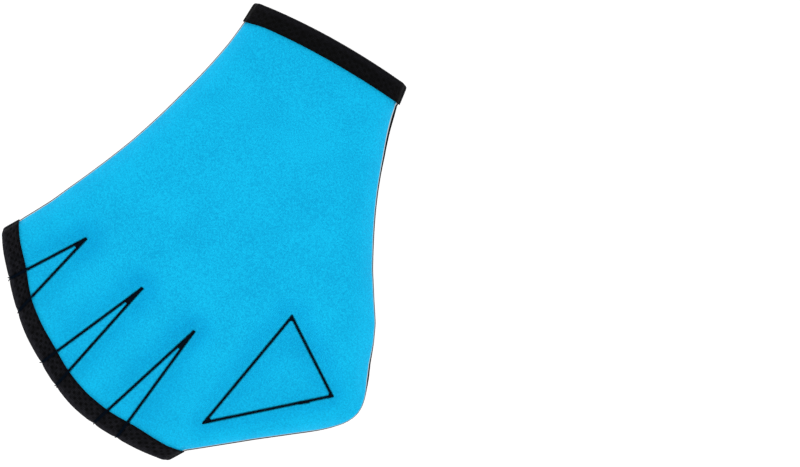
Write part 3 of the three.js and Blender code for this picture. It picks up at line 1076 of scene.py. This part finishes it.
@dataclass
class Panel:
    """One sheet of jersey-laminated neoprene, cut to the glove's outline."""

    form: GloveForm
    side: Side
    columns: int = 238
    rows: int = 301
    inner_step: int = 3
    edge_steps: tuple[float, ...] = (0.0, 0.35, 0.7, 1.1, 1.6, 2.2, 3.0)
    # The shares of the way from the jersey to the palm sheet that the foam reaches, thumb and little finger
    foam_shares: Pair = (0.3, 0.45)
    trim_reach: float = 7.0

    def shares(self) -> Array:
        """Lists how far across the grid's lines are.

        Returns:
            Shares of the width, close together beside the seams.
        """
        edge = np.array(self.edge_steps) / self.form.sizes.width
        middle = np.linspace(edge[-1], 1 - edge[-1], self.columns)
        return np.concatenate([edge[:-1], middle, 1 - edge[:-1][::-1]])

    def plan(self) -> tuple[Array, Array, Array]:
        """Spreads a grid over the outline.

        Returns:
            The grid's places, and the ways in from the thumb's side and from the little finger's side.
        """
        form = self.form
        across, up = self.shares(), np.linspace(0, 1, self.rows)
        bottom = along_line(form.wrist_edge, across * line_length(form.wrist_edge))
        top = along_line(form.finger_edge[::-1], across * line_length(form.finger_edge))
        start = along_line(form.thumb_side[::-1], up * line_length(form.thumb_side))
        end = along_line(form.little_side, up * line_length(form.little_side))
        u, v = across[None, :, None], up[:, None, None]
        between = (1 - v) * bottom[None] + v * top[None] + (1 - u) * start[:, None] + u * end[:, None]
        corners = (1 - u) * ((1 - v) * bottom[0] + v * top[0]) + u * ((1 - v) * bottom[-1] + v * top[-1])
        start_way, end_way = unit(np.gradient(start, axis=0)), unit(np.gradient(end, axis=0))
        into_start = np.stack([start_way[:, 1], -start_way[:, 0]], axis=1)
        into_end = np.stack([-end_way[:, 1], end_way[:, 0]], axis=1)
        return between - corners, into_start, into_end

    def trimmed(self, plan: Array, into_start: Array, into_end: Array, jersey: bool) -> Array:
        """Draws the grid's side edges in from the seam line.

        Args:
            plan: The grid's places.
            into_start: The ways in from the thumb's side, a row each.
            into_end: The ways in from the little finger's side.
            jersey: Whether this is the back sheet's jersey, which leaves its foam showing.

        Returns:
            The moved places.
        """
        form, flat = self.form, plan.reshape(-1, 2)
        moved = plan
        for line, ways, trims in (
            (form.thumb_side, into_start, form.thumb_trim),
            (form.little_side, into_end, form.little_trim),
        ):
            beside = np.maximum(0, 1 - distance_to_line(flat, line) / self.trim_reach)
            inset = beside * form.trimmed(flat, trims, jersey)
            moved = moved + inset.reshape(*plan.shape[:2], 1) * ways[:, None]
        return moved

    def rim(self, rows: int, columns: int, down: Sequence[int], across: Sequence[int]) -> list[int]:
        """Lists a grid's border points once round.

        Args:
            rows: Points down the grid.
            columns: Points across the grid.
            down: The rows to use.
            across: The columns to use.

        Returns:
            The points' numbers.
        """
        first = list(across[:-1])
        second = [i * columns + columns - 1 for i in down[:-1]]
        third = [(rows - 1) * columns + j for j in across[:0:-1]]
        fourth = [i * columns for i in down[:0:-1]]
        return first + second + third + fourth

    def edge_faces(self, outer_rim: list[int], inner_rim: list[int], middle: int) -> list[list[list[int]]]:
        """Lists the faces of the cut edge, from the outer face over a middle line to the inner face.

        Args:
            outer_rim: The outer face's border points.
            inner_rim: The inner face's border points, which are fewer by the inner step.
            middle: The number of the middle line's first point.

        Returns:
            The faces outside the middle line, and those inside it.
        """
        count, step = len(outer_rim), self.inner_step
        upper, lower = [], []
        for k in range(count):
            following = (k + 1) % count
            upper.append([outer_rim[k], middle + k, middle + following, outer_rim[following]])
        for k in range(count // step):
            top = [middle + (k * step + i) % count for i in range(step + 1)]
            lower.append(top[::-1] + [inner_rim[k], inner_rim[(k + 1) % len(inner_rim)]])
        if self.side is Side.BACK:
            return [upper, lower]
        return [[face[::-1] for face in faces] for faces in (upper, lower)]

    def build(self, finishes: Finishes) -> bpy.types.Object:
        """Makes the sheet's outer and inner faces and its cut edge.

        Args:
            finishes: The glove's materials.

        Returns:
            The panel.
        """
        plan, into_start, into_end = self.plan()
        rows, columns = plan.shape[:2]
        back = self.side is Side.BACK
        down, across = range(0, rows, self.inner_step), range(0, columns, self.inner_step)
        if down[-1] != rows - 1 or across[-1] != columns - 1:
            raise ValueError("the inner step has to end on the grid's last row and column")
        palm_plan = self.trimmed(plan, into_start, into_end, jersey=False)
        outer_plan = self.trimmed(plan, into_start, into_end, jersey=back)
        thumb_share, little_share = self.foam_shares
        foam = (thumb_share + (little_share - thumb_share) * self.shares())[None, :, None]
        middle_plan = outer_plan * (1 - foam) + palm_plan * foam
        outer_flat = outer_plan.reshape(-1, 2)
        inner_flat = middle_plan[np.ix_(down, across)].reshape(-1, 2)
        # Heights are those of the untrimmed plan, so the two sheets still meet along their cut edges
        outer_faces = self.form.faces(plan.reshape(-1, 2))
        inner_faces = self.form.faces(plan[np.ix_(down, across)].reshape(-1, 2))
        dip = self.form.pressed(outer_flat)
        outside, within = f"{self.side.value}_out", f"{self.side.value}_in"
        outer_height = outer_faces[outside] + (-dip if back else dip)
        outer = np.column_stack([outer_flat, outer_height])
        parts = MeshParts()
        parts.add(outer, grid_quads(rows, columns, turned=not back))
        parts.add(
            np.column_stack([inner_flat, inner_faces[within]]),
            grid_quads(len(down), len(across), turned=back),
            2,
        )
        outer_rim = self.rim(rows, columns, range(rows), range(columns))
        inner_rim = self.rim(len(down), len(across), range(len(down)), range(len(across)))
        rim_height = self.form.faces(plan.reshape(-1, 2)[outer_rim])[within]
        middle_height = rim_height + 0.5 * (outer_height[outer_rim] - rim_height)
        middle_start = parts.count
        parts.add(np.column_stack([middle_plan.reshape(-1, 2)[outer_rim], middle_height]), [])
        for faces in self.edge_faces(outer_rim, [k + len(outer) for k in inner_rim], middle_start):
            parts.join(faces, 1)
        return self.dress(parts, plan.reshape(-1, 2), finishes)

    def dress(self, parts: MeshParts, flat_plan: Array, finishes: Finishes) -> bpy.types.Object:
        """Gives the sheet its jersey and foam, hides the part that it replaces and logs its size.

        Args:
            parts: The sheet's points and faces.
            flat_plan: The untrimmed plan, a row for each place.
            finishes: The glove's materials.

        Returns:
            The panel.
        """
        if self.side is Side.BACK:
            name, slot, under = "back_panel_neoprene", "blue_jersey", "palm_panel_neoprene"
            # The cut edge gets the pale foam colour, a painted highlight along the seam
            skin, edge = finishes.blue_jersey, finishes.cut_foam
        else:
            name, slot, under = "palm_panel_neoprene", "black_jersey", "table"
            skin, edge = finishes.black_jersey, finishes.black_foam
        made = parts.object(name, [skin, edge, finishes.black_jersey])
        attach(made, ROOT)
        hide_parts(f"{self.side.value}_panel")
        flat = tuple(float(x) for x in (flat_plan.max(0) - flat_plan.min(0)) * MM)
        cut = [x / MM for x in flat]
        LOG.info("%s: %d faces, cut from %.0f x %.0f mm", name, len(made.data.polygons), *cut)
        return made


@dataclass
class Hoop:
    """The stations of a mouth as a ring: over the back from side to side, and back under the palm."""

    form: GloveForm
    points: Array
    inwards: Array
    turn: int
    # Where the ring turns sharply, points move off it no further than this allows, so no spike forms
    sharpest: float = 0.6

    def __post_init__(self) -> None:
        """Puts the stations in the ring's order."""
        self.last = len(self.points) - 1
        order = list(range(self.last + 1))
        self.index = np.array(order + order[::-1])
        self.back = np.arange(len(self.index)) <= self.last
        self.base = self.points[self.index]
        self.way = self.inwards[self.index]
        self.way3 = np.column_stack([self.way, np.zeros(len(self.way))])
        self.to_last = np.linalg.norm(self.base - self.points[self.last], axis=1)
        self.to_end = np.minimum(np.linalg.norm(self.base - self.points[0], axis=1), self.to_last)

    def at(self, depth: float | Array, back_face: str, palm_face: str) -> Array:
        """Finds the ring on the panels' faces at a depth.

        Args:
            depth: How far into the glove the ring lies.
            back_face: The back panel's face.
            palm_face: The palm panel's face.

        Returns:
            The ring's points, a row each.
        """
        flat = self.base + self.way * depth
        heights = self.form.faces(flat)
        return np.column_stack([flat, np.where(self.back, heights[back_face], heights[palm_face])])

    def moved_off(self, ring: Array, distance: float | Array) -> Array:
        """Moves a ring off itself, square to its neighbours and to the way in.

        Args:
            ring: The ring's points, a row each.
            distance: How far to move each point, outwards.

        Returns:
            The moved points.
        """
        following, before = np.roll(ring, -1, axis=0) - ring, ring - np.roll(ring, 1, axis=0)
        both = unit(np.cross(before, self.way3)) + unit(np.cross(following, self.way3))
        return ring + both * (2 * distance / np.maximum((both**2).sum(1), self.sharpest))[:, None]


@dataclass
class Binding:
    """One turn of tape folded over the cut edges of a mouth."""

    form: GloveForm
    mouth: Mouth
    station_step: float = 0.8
    leg_rows: int = 12
    fold_rows: int = 9
    turn_rows: int = 9
    # The web stitches draw the folded edge in by the pinch, which fades along the edge and into the glove
    pinch: float = 0.75
    pinch_reach: float = 1.6
    pinch_depth: float = 2.5
    # The tape's two ends at the side seams are thinner and rounded
    corner: float = 1.8
    corner_start: float = 0.5
    end_reach: float = 1.3
    end_slope: float = 0.45
    least_tape: float = 0.1
    # The outer leg is wider all along by leg_more, and by the flare's share near the little finger
    leg_more: float = 0.0
    flare: float = 0.0
    flare_reach: float = 7.0
    # How much of the stitches' press shows on the tape's outer face, on its inner one and under the palm
    press_outside: float = 1.2
    press_inside: float = 0.8
    press_palm: float = 0.5

    def stations(self) -> tuple[Array, Array]:
        """Lists the mouth's points from side to side, and the way into the glove at each.

        Returns:
            The points and the directions.
        """
        form, s = self.form, self.form.sizes
        knots: list[tuple[float, Array]] = []
        if self.mouth is Mouth.WRIST:
            edge, first_in, last_in = form.wrist_edge, form.wrist_thumb_in, form.wrist_little_in
        else:
            edge, first_in, last_in = form.finger_edge, form.little_in, form.index_in
            for web, wedge in zip(form.webs, form.wedges):
                for angle, end in ((web.little_side, wedge[2]), (web.thumb_side, wedge[1])):
                    share = (angle - form.mouth_little) / (form.mouth_index - form.mouth_little)
                    knots.append((share, unit(wedge[0] - end)))
        length = line_length(edge)
        first_way, last_way = unit(edge[1] - edge[0]), unit(edge[-1] - edge[-2])
        first_skew = abs(first_way[0] * first_in[1] - first_way[1] * first_in[0])
        last_skew = abs(last_way[0] * last_in[1] - last_way[1] * last_in[0])
        depths = np.linspace(0, s.tape_turn, self.turn_rows)
        first_runs, last_runs = depths / first_skew, length - depths[::-1] / last_skew
        count = max(2, round((last_runs[0] - first_runs[-1]) / self.station_step))
        middle = np.linspace(first_runs[-1], last_runs[0], count + 1)[1:-1]
        runs = np.concatenate([first_runs, middle, last_runs])
        # The way in follows the side seams as far as the tape's turn and the webs' lines between them
        held = [(0.0, first_in), ((s.tape_turn + s.roll_reach) / first_skew / length, first_in)]
        held += knots
        held += [(1 - (s.tape_turn + s.roll_reach) / last_skew / length, last_in), (1.0, last_in)]
        shares = [share for share, _ in held]
        ways = np.array([way for _, way in held])
        inwards = np.stack([np.interp(runs / length, shares, ways[:, k]) for k in (0, 1)], axis=1)
        return along_line(edge, runs), unit(inwards)

    def pinched(self, base: Array) -> Array:
        """Says how far the web stitches draw the tape's folded edge in.

        Args:
            base: The stations' places on the edge, a row each.

        Returns:
            The distance at each station.
        """
        if self.mouth is Mouth.WRIST:
            return np.zeros(len(base))
        ends = np.array([wedge[k] for wedge in self.form.wedges for k in (1, 2)])
        away = np.linalg.norm(base[:, None] - ends[None], axis=2).min(1)
        return self.pinch * np.exp(-((away / self.pinch_reach) ** 2))

    def outer(self, hoop: Hoop, depth: float, distance: float) -> Array:
        """Places one of the outer leg's rings, thinner where stitches press it and at its two ends.

        Args:
            hoop: The mouth's stations.
            depth: How far into the glove the ring lies.
            distance: How far it stands off the panels.

        Returns:
            The ring's points, a row each.
        """
        s = self.form.sizes
        flared = self.flare * np.exp(-((hoop.to_last / self.flare_reach) ** 2))
        wider = 1 + self.leg_more / s.tape_leg + flared
        beside_end = np.exp(-((hoop.to_end / self.end_reach) ** 2))
        corner = float(roll(np.array(depth + self.corner_start), self.corner))
        taper = 1 - beside_end * (1 - corner * (1 - self.end_slope * depth / s.tape_leg))
        outside = distance > s.tape_fit
        spread = np.where(outside, np.maximum(distance * taper, s.tape_fit + self.least_tape), distance)
        ring = hoop.moved_off(hoop.at(depth * wider[:, None], "back_out", "palm_out"), spread)
        dip = self.form.pressed(ring[:, :2]) * (self.press_outside if outside else self.press_inside)
        ring[:, 2] += np.where(hoop.back, -dip, dip * self.press_palm)
        drawn = self.pinched(hoop.base) * math.exp(-((depth / self.pinch_depth) ** 2))
        return ring + hoop.way3 * drawn[:, None]

    def inner(self, hoop: Hoop, depth: float, distance: float) -> Array:
        """Places one of the inner leg's rings, which turns where the hollow has room for it.

        Args:
            hoop: The mouth's stations.
            depth: How far into the glove the ring lies.
            distance: How far it stands off the panels.

        Returns:
            The ring's points, a row each.
        """
        ring = hoop.at(depth, "back_in", "palm_in")
        made = hoop.moved_off(ring, -distance)
        last, turn, count = hoop.last, hoop.turn, len(hoop.index)
        for seam, pivot, neighbour in ((last, last - turn, last - turn - 1), (0, turn, turn + 1)):
            aside = unit(hoop.points[neighbour] - hoop.points[pivot])
            shift = np.array([*(aside * (distance + self.form.sizes.layer_gap)), 0.0])
            near = np.nonzero(np.abs(hoop.index - seam) <= turn)[0]
            top = ring[(hoop.index == pivot) & hoop.back][0] + shift - [0, 0, distance]
            low = ring[(hoop.index == pivot) & ~hoop.back][0] + shift + [0, 0, distance]
            in_order = sorted(near, key=lambda k: (k + count // 2) % count if seam == 0 else k)
            start, stop = (low, top) if seam == 0 else (top, low)
            for rank, k in enumerate(in_order):
                made[k] = start + (stop - start) * (rank / (len(in_order) - 1))
        return made

    def rings(self, hoop: Hoop) -> list[Array]:
        """Lists the tape's rings from the outer leg's edge over the fold to the inner leg, and back inside.

        Args:
            hoop: The mouth's stations.

        Returns:
            The rings, the last one the same as the first.
        """
        s = self.form.sizes
        build, fit = s.tape_build, s.tape_fit
        depths = np.linspace(0, s.tape_leg, self.leg_rows)
        made = [self.outer(hoop, depth, build) for depth in depths[::-1]]
        start, stop = made[-1], self.inner(hoop, 0, build)
        for share in np.linspace(0, 1, self.fold_rows + 2)[1:-1]:
            near_end = roll(hoop.to_end + self.corner_start, self.corner)
            bulge = build * math.sqrt(math.sin(math.pi * share)) * near_end
            made.append(start + (stop - start) * share - hoop.way3 * bulge[:, None])
        made += [self.inner(hoop, depth, build) for depth in depths]
        made += [self.inner(hoop, depth, fit) for depth in depths[::-1]]
        made.append(self.outer(hoop, 0, fit) - hoop.way3 * fit)
        made += [self.outer(hoop, depth, fit) for depth in depths[1:]]
        made.append(made[0])
        return made

    def build(self, finishes: Finishes) -> bpy.types.Object:
        """Makes the tape as rings round the hand.

        Args:
            finishes: The glove's materials.

        Returns:
            The tape.
        """
        points, inwards = self.stations()
        rings = self.rings(Hoop(self.form, points, inwards, self.turn_rows - 1))
        grid = np.array(rings)
        rows, columns = grid.shape[:2]
        quads = grid_quads(rows - 1, columns, turned=True, ring=True)
        closing = grid_quads(2, columns, turned=True, ring=True)
        closing = np.where(closing < columns, closing + (rows - 2) * columns, closing - columns)
        parts = MeshParts()
        parts.add(grid[:-1].reshape(-1, 3), np.vstack([quads, closing]))
        # The wrist's tape takes the darker copy of the tape, which is painted shade
        finish = finishes.wrist_tape if self.mouth is Mouth.WRIST else finishes.finger_tape
        made = parts.object(f"{self.mouth.value}_binding_tape", [finish])
        self.unwrap(made, grid)
        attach(made, ROOT)
        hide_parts(f"{self.mouth.value}_binding")
        fold = rings[self.leg_rows - 1 : self.leg_rows + self.fold_rows + 1]
        around = line_length(closed_line(fold[0]))
        over_fold = line_length(np.array([ring[columns // 4] for ring in fold]))
        wide = 2 * self.form.sizes.tape_leg + self.leg_more + over_fold
        LOG.info("%s: %d faces, cut from %.0f x %.0f mm", made.name, len(made.data.polygons), wide, around)
        return made

    def unwrap(self, made: bpy.types.Object, grid: Array) -> None:
        """Keeps each corner's place along and across the tape, in millimetres, as its UV map.

        Args:
            made: The tape.
            grid: The rings that it was made from.
        """
        rows, columns = grid.shape[0] - 1, grid.shape[1]
        around = closed_line(grid[self.leg_rows - 1])
        along = np.concatenate([[0], np.cumsum(np.linalg.norm(np.diff(around, axis=0), axis=1))])
        over = grid[:, columns // 4]
        across = np.concatenate([[0], np.cumsum(np.linalg.norm(np.diff(over, axis=0), axis=1))])
        loops = np.zeros(len(made.data.loops), np.int32)
        made.data.loops.foreach_get("vertex_index", loops)
        # A face that joins the last line to the first keeps its place past the end, not back at the start
        steps = []
        for number, size in ((loops // columns, rows), (loops % columns, columns)):
            by_face = number.reshape(-1, 4)
            wraps = (by_face.max(1) == size - 1) & (by_face.min(1) == 0)
            steps.append(np.where(np.repeat(wraps, 4) & (number == 0), size, number))
        row, column = steps
        layer = made.data.uv_layers.new(name="tape")
        layer.data.foreach_set("uv", np.column_stack([along[column], across[row]]).astype(np.float32).ravel())


@dataclass
class WebStitches:
    """Dense zigzag stitches along the webs and the triangle, through both sheets and the finger tape."""

    form: GloveForm
    side: Side
    width: float = 1.6
    pitch: float = 0.36
    thread: float = 0.34
    past_end: float = 0.5
    web_past_end: float = 0.1
    web_tip: float = 0.1
    over_tape: float = 0.2
    # The thread climbs onto the tape from the second length before its edge to the first one past it
    climb: Pair = (0.3, 0.9)
    # A corner's fill starts at the tip's reach and ends past the place where the two lines' edges part
    tip_reach: float = 1.3
    tip_share: float = 0.75
    filled: float = 1.45
    least_swing: float = 0.15
    fill_lift: float = 0.08
    # Where the triangle's second run starts and ends along its long side, and how far beside it starts
    overlap: tuple[float, float, float] = (11.5, 17.5, 0.45)
    overlap_end: float = 0.3
    # The thread's middle stands over the jersey by this share of its thickness
    stand: float = 0.75
    sunk_back: float = 0.2
    sunk_palm: float = 0.4
    table_gap: float = 0.05

    def level(self, flat: Array) -> Array:
        """Finds the height of the thread's middle, which lies on the jersey or on the tape.

        Args:
            flat: Places in the plan, a row each.

        Returns:
            The height at each place.
        """
        form, s = self.form, self.form.sizes
        heights, dip = form.faces(flat), form.pressed(flat)
        past, before = self.climb
        on_tape = 1 - smooth(s.tape_leg - past, s.tape_leg + before, form.to_mouths(flat))
        if self.side is Side.BACK:
            sunk = dip * (1 + self.sunk_back * on_tape)
            return heights["back_out"] + s.tape_build * on_tape - sunk + self.stand * self.thread
        low = heights["palm_out"] - s.tape_build * on_tape + dip * (1 - self.sunk_palm * on_tape)
        return np.maximum(low, self.table_gap + self.thread / 2)

    def lines(self) -> list[Array]:
        """Lists the stitched lines with the bit that each runs past its ends.

        Returns:
            The two ends of each line.
        """
        made = []
        for line in self.form.stitched_lines():
            way = unit(line[1] - line[0])
            in_web = any(np.allclose(line[0], wedge[0]) for wedge in self.form.wedges)
            before = self.web_past_end if in_web else self.past_end
            past = self.over_tape if in_web else self.past_end
            made.append(np.array([line[0] - way * before, line[1] + way * past]))
        # The triangle's seam starts and ends on its long side, where the two runs overlap
        corner, far = self.form.patch[2], self.form.patch[1]
        way = unit(far - corner)
        first, last, beside = self.overlap
        aside = np.array([-way[1], way[0]]) * beside
        made.append(np.array([corner + way * first + aside, corner + way * last + aside * self.overlap_end]))
        return made

    def corners(self) -> list[tuple[Array, Array, Array, float]]:
        """Lists the corners between two stitched lines.

        Returns:
            Each corner's place, the unit ways out along both lines and how far its tip reaches.
        """
        form = self.form
        found = [(web[0], web[1], web[2], self.web_past_end + self.web_tip) for web in form.wedges]
        count = len(form.patch)
        for number in range(count):
            following = form.patch[(number + 1) % count]
            found.append((form.patch[number], form.patch[number - 1], following, self.tip_reach))
        return [(place, unit(one - place), unit(other - place), tip) for place, one, other, tip in found]

    def line_path(self, line: Array) -> Array:
        """Finds the path of the thread along a stitched line.

        Args:
            line: The line's two ends.

        Returns:
            The zigzag's points in the plan.
        """
        way = unit(line[1] - line[0])
        aside = np.array([-way[1], way[0]])
        count = int(float(np.linalg.norm(line[1] - line[0])) / self.pitch) * 4 + 1
        runs = np.arange(count) * self.pitch / 4
        swing = zigzag(count) * self.width / 2
        return line[0] + runs[:, None] * way + swing[:, None] * aside

    def corner_path(self, corner: Array, one: Array, other: Array, tip: float) -> Array:
        """Finds the path of the thread that fills a corner, from its tip to where the two lines part.

        Args:
            corner: Where the middles of the two lines meet.
            one: The unit way out along the first line.
            other: The unit way out along the second line.
            tip: How far the tip may reach past the corner.

        Returns:
            The zigzag's points in the plan.
        """
        inwards = unit(one + other)
        half = math.acos(float(np.clip(np.dot(inwards, one), -1.0, 1.0)))
        meet = self.width / 2 / math.sin(half)
        runs = np.arange(-min(meet * self.tip_share, tip), meet * self.filled, self.pitch / 4)
        wide = (runs + meet) * math.tan(half) - self.thread / 2
        swing = zigzag(len(runs)) * np.maximum(wide, self.least_swing)
        aside = np.array([-inwards[1], inwards[0]])
        return corner + runs[:, None] * inwards + swing[:, None] * aside

    def build(self, finishes: Finishes) -> bpy.types.Object:
        """Makes every stitch as thread.

        Args:
            finishes: The glove's materials.

        Returns:
            The stitches of one side of the glove.
        """
        paths = [(self.line_path(line), 0.0) for line in self.lines()]
        paths += [(self.corner_path(*corner), self.fill_lift) for corner in self.corners()]
        parts = MeshParts()
        for flat, lift in paths:
            path = np.column_stack([flat, self.level(flat) + lift])
            parts.add(*thread_tube(path, self.thread / 2, 5))
        made = parts.object(f"{self.side.value}_web_stitches", [finishes.thread])
        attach(made, ROOT)
        LOG.info("%s: %d faces", made.name, len(made.data.polygons))
        return made


@dataclass(frozen=True)
class Tail:
    """One cut thread end: which web and line it leaves, its length, and how far it leans and droops."""

    web: int
    end: int
    length: float
    lean: float
    droop: float


@dataclass
class ThreadTails:
    """Short cut ends of the web stitches' thread at the finger tape's folded edge."""

    form: GloveForm
    thread: float = 0.5
    # A tail starts inside the fold and is longer by the part that the fold hides
    inside_fold: float = 0.3
    under_top: float = 0.7
    hidden: float = 0.9
    path_points: int = 12
    tails: tuple[Tail, ...] = (
        Tail(0, 2, 1.3, 25.0, 0.8),
        Tail(0, 2, 0.9, -40.0, 0.5),
        Tail(0, 1, 1.0, 20.0, 0.7),
        Tail(1, 2, 1.0, -25.0, 0.6),
        Tail(1, 1, 1.2, 40.0, 0.9),
        Tail(1, 1, 0.8, -15.0, 0.4),
        Tail(2, 2, 0.6, 15.0, 0.4),
        Tail(2, 1, 0.8, -30.0, 0.6),
    )

    def build(self, finishes: Finishes) -> bpy.types.Object:
        """Makes the tails, each a short curve out of the fold.

        Args:
            finishes: The glove's materials.

        Returns:
            All of the tails as one object.
        """
        parts, s = MeshParts(), self.form.sizes
        share = np.linspace(0, 1, self.path_points)[:, None]
        for tail in self.tails:
            wedge = self.form.wedges[tail.web]
            way = unit(wedge[tail.end] - wedge[0])
            start = wedge[tail.end] - way * self.inside_fold
            top = float(self.form.faces(start[None])["back_out"][0]) + s.tape_build - self.under_top
            turn = math.radians(tail.lean)
            aside = np.array([-way[1], way[0]])
            reach = self.hidden + tail.length
            flat = start + way * share * reach * math.cos(turn) + aside * share**2 * reach * math.sin(turn)
            height = top - tail.droop * share[:, 0] ** 2
            parts.add(*thread_tube(np.column_stack([flat, height]), self.thread / 2))
        made = parts.object("thread_tails", [finishes.thread])
        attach(made, ROOT)
        return made


# The studio


@dataclass
class Studio:
    """The white table, the light tent and the camera straight above. Its lengths are metres."""

    distance: float = 3.0
    level: float = 0.005
    frame_width: float = 0.4
    middle: Pair = (-0.0558, -0.0567)
    turn: float = 50.0
    sensor_mm: float = 36.0
    sight: float = 20.0
    table_half: float = 3.0
    table_height: float = -0.0004
    table_colour: str = "#c4c4c4"
    table_roughness: float = 0.9
    table_glow: float = 0.72
    # The tent's walls are brighter than its roof, so that slopes are as bright as level cloth
    wall_light: float = 1.35
    roof_light: float = 0.75
    roof_from: float = 0.9
    lamp_place: tuple[float, float, float] = (0.1, 0.16, 1.7)
    lamp_energy: float = 5.6
    lamp_size: float = 1.2

    def camera(self) -> None:
        """Sets the camera over the middle of the picture, with the fingers to the lower left."""
        data = bpy.data.cameras.new("camera")
        data.sensor_width = self.sensor_mm
        data.lens = data.sensor_width * self.distance / self.frame_width
        data.clip_end = self.sight
        made = bpy.data.objects.new("camera", data)
        bpy.context.collection.objects.link(made)
        angle = math.radians(self.turn)
        right = Vector((-math.sin(angle), -math.cos(angle), 0))
        up = Vector((math.cos(angle), -math.sin(angle), 0))
        out = Vector((0, 0, 1))
        turned = Matrix((right, up, out)).transposed().to_4x4()
        turned.translation = Vector((*self.middle, self.level + self.distance))
        made.matrix_world = turned
        bpy.context.scene.camera = made

    def table(self) -> None:
        """Lays a white table that glows a little, as in a light tent."""
        mesh = bpy.data.meshes.new("table")
        half, low = self.table_half, self.table_height
        corners = [(-half, -half, low), (half, -half, low), (half, half, low), (-half, half, low)]
        mesh.from_pydata(corners, [], [(0, 1, 2, 3)])
        made = bpy.data.objects.new("table", mesh)
        bpy.context.collection.objects.link(made)
        material, tree = new_material("white_table")
        shader = add_node(
            tree,
            "ShaderNodeBsdfPrincipled",
            {},
            {
                "Base Color": linear(self.table_colour),
                "Roughness": self.table_roughness,
                "Emission Color": linear("#ffffff"),
                "Emission Strength": self.table_glow,
            },
        )
        add_node(tree, "ShaderNodeOutputMaterial", {}, {"Surface": shader.outputs[0]})
        mesh.materials.append(material)

    def light(self) -> None:
        """Fills the tent with even light and adds one broad soft lamp almost straight above."""
        world = bpy.data.worlds.new("tent")
        bpy.context.scene.world = world
        world.use_nodes = True
        tree = world.node_tree
        tree.nodes.clear()
        place = add_node(tree, "ShaderNodeTexCoord")
        axes = add_node(tree, "ShaderNodeSeparateXYZ", {}, {0: place.outputs["Generated"]})
        level = add_node(
            tree,
            "ShaderNodeMapRange",
            {},
            {0: axes.outputs[2], 1: 0.0, 2: self.roof_from, 3: self.wall_light, 4: self.roof_light},
        )
        back = add_node(
            tree,
            "ShaderNodeBackground",
            {},
            {"Color": linear("#ffffff"), "Strength": level.outputs[0]},
        )
        add_node(tree, "ShaderNodeOutputWorld", {}, {"Surface": back.outputs[0]})
        data = bpy.data.lights.new("broad_lamp", "AREA")
        data.energy = self.lamp_energy
        data.size = self.lamp_size
        made = bpy.data.objects.new("broad_lamp", data)
        bpy.context.collection.objects.link(made)
        made.location = self.lamp_place
        made.rotation_mode = "QUATERNION"
        made.rotation_quaternion = (-made.location).to_track_quat("-Z", "Y")

    def build(self) -> None:
        """Sets up camera, table, light and the plain colour response of a catalogue picture."""
        bpy.context.scene.view_settings.view_transform = "Standard"
        self.camera()
        self.table()
        self.light()
        LOG.info("studio ready")


def main() -> None:
    """Builds the glove piece by piece and then the studio."""
    logging.basicConfig(level=logging.INFO, format="%(message)s")
    form = GloveForm()
    finishes = Finishes.make()
    makers: list[Callable[[Finishes], bpy.types.Object]] = [
        Panel(form, Side.BACK).build,
        Panel(form, Side.PALM).build,
        Binding(form, Mouth.WRIST, leg_more=0.45, flare=0.12).build,
        Binding(form, Mouth.FINGER).build,
        WebStitches(form, Side.BACK).build,
        WebStitches(form, Side.PALM).build,
        ThreadTails(form).build,
    ]
    for make in makers:
        LOG.info("made %s", make(finishes).name)
    Studio().build()


if __name__ == "__main__":
    main()
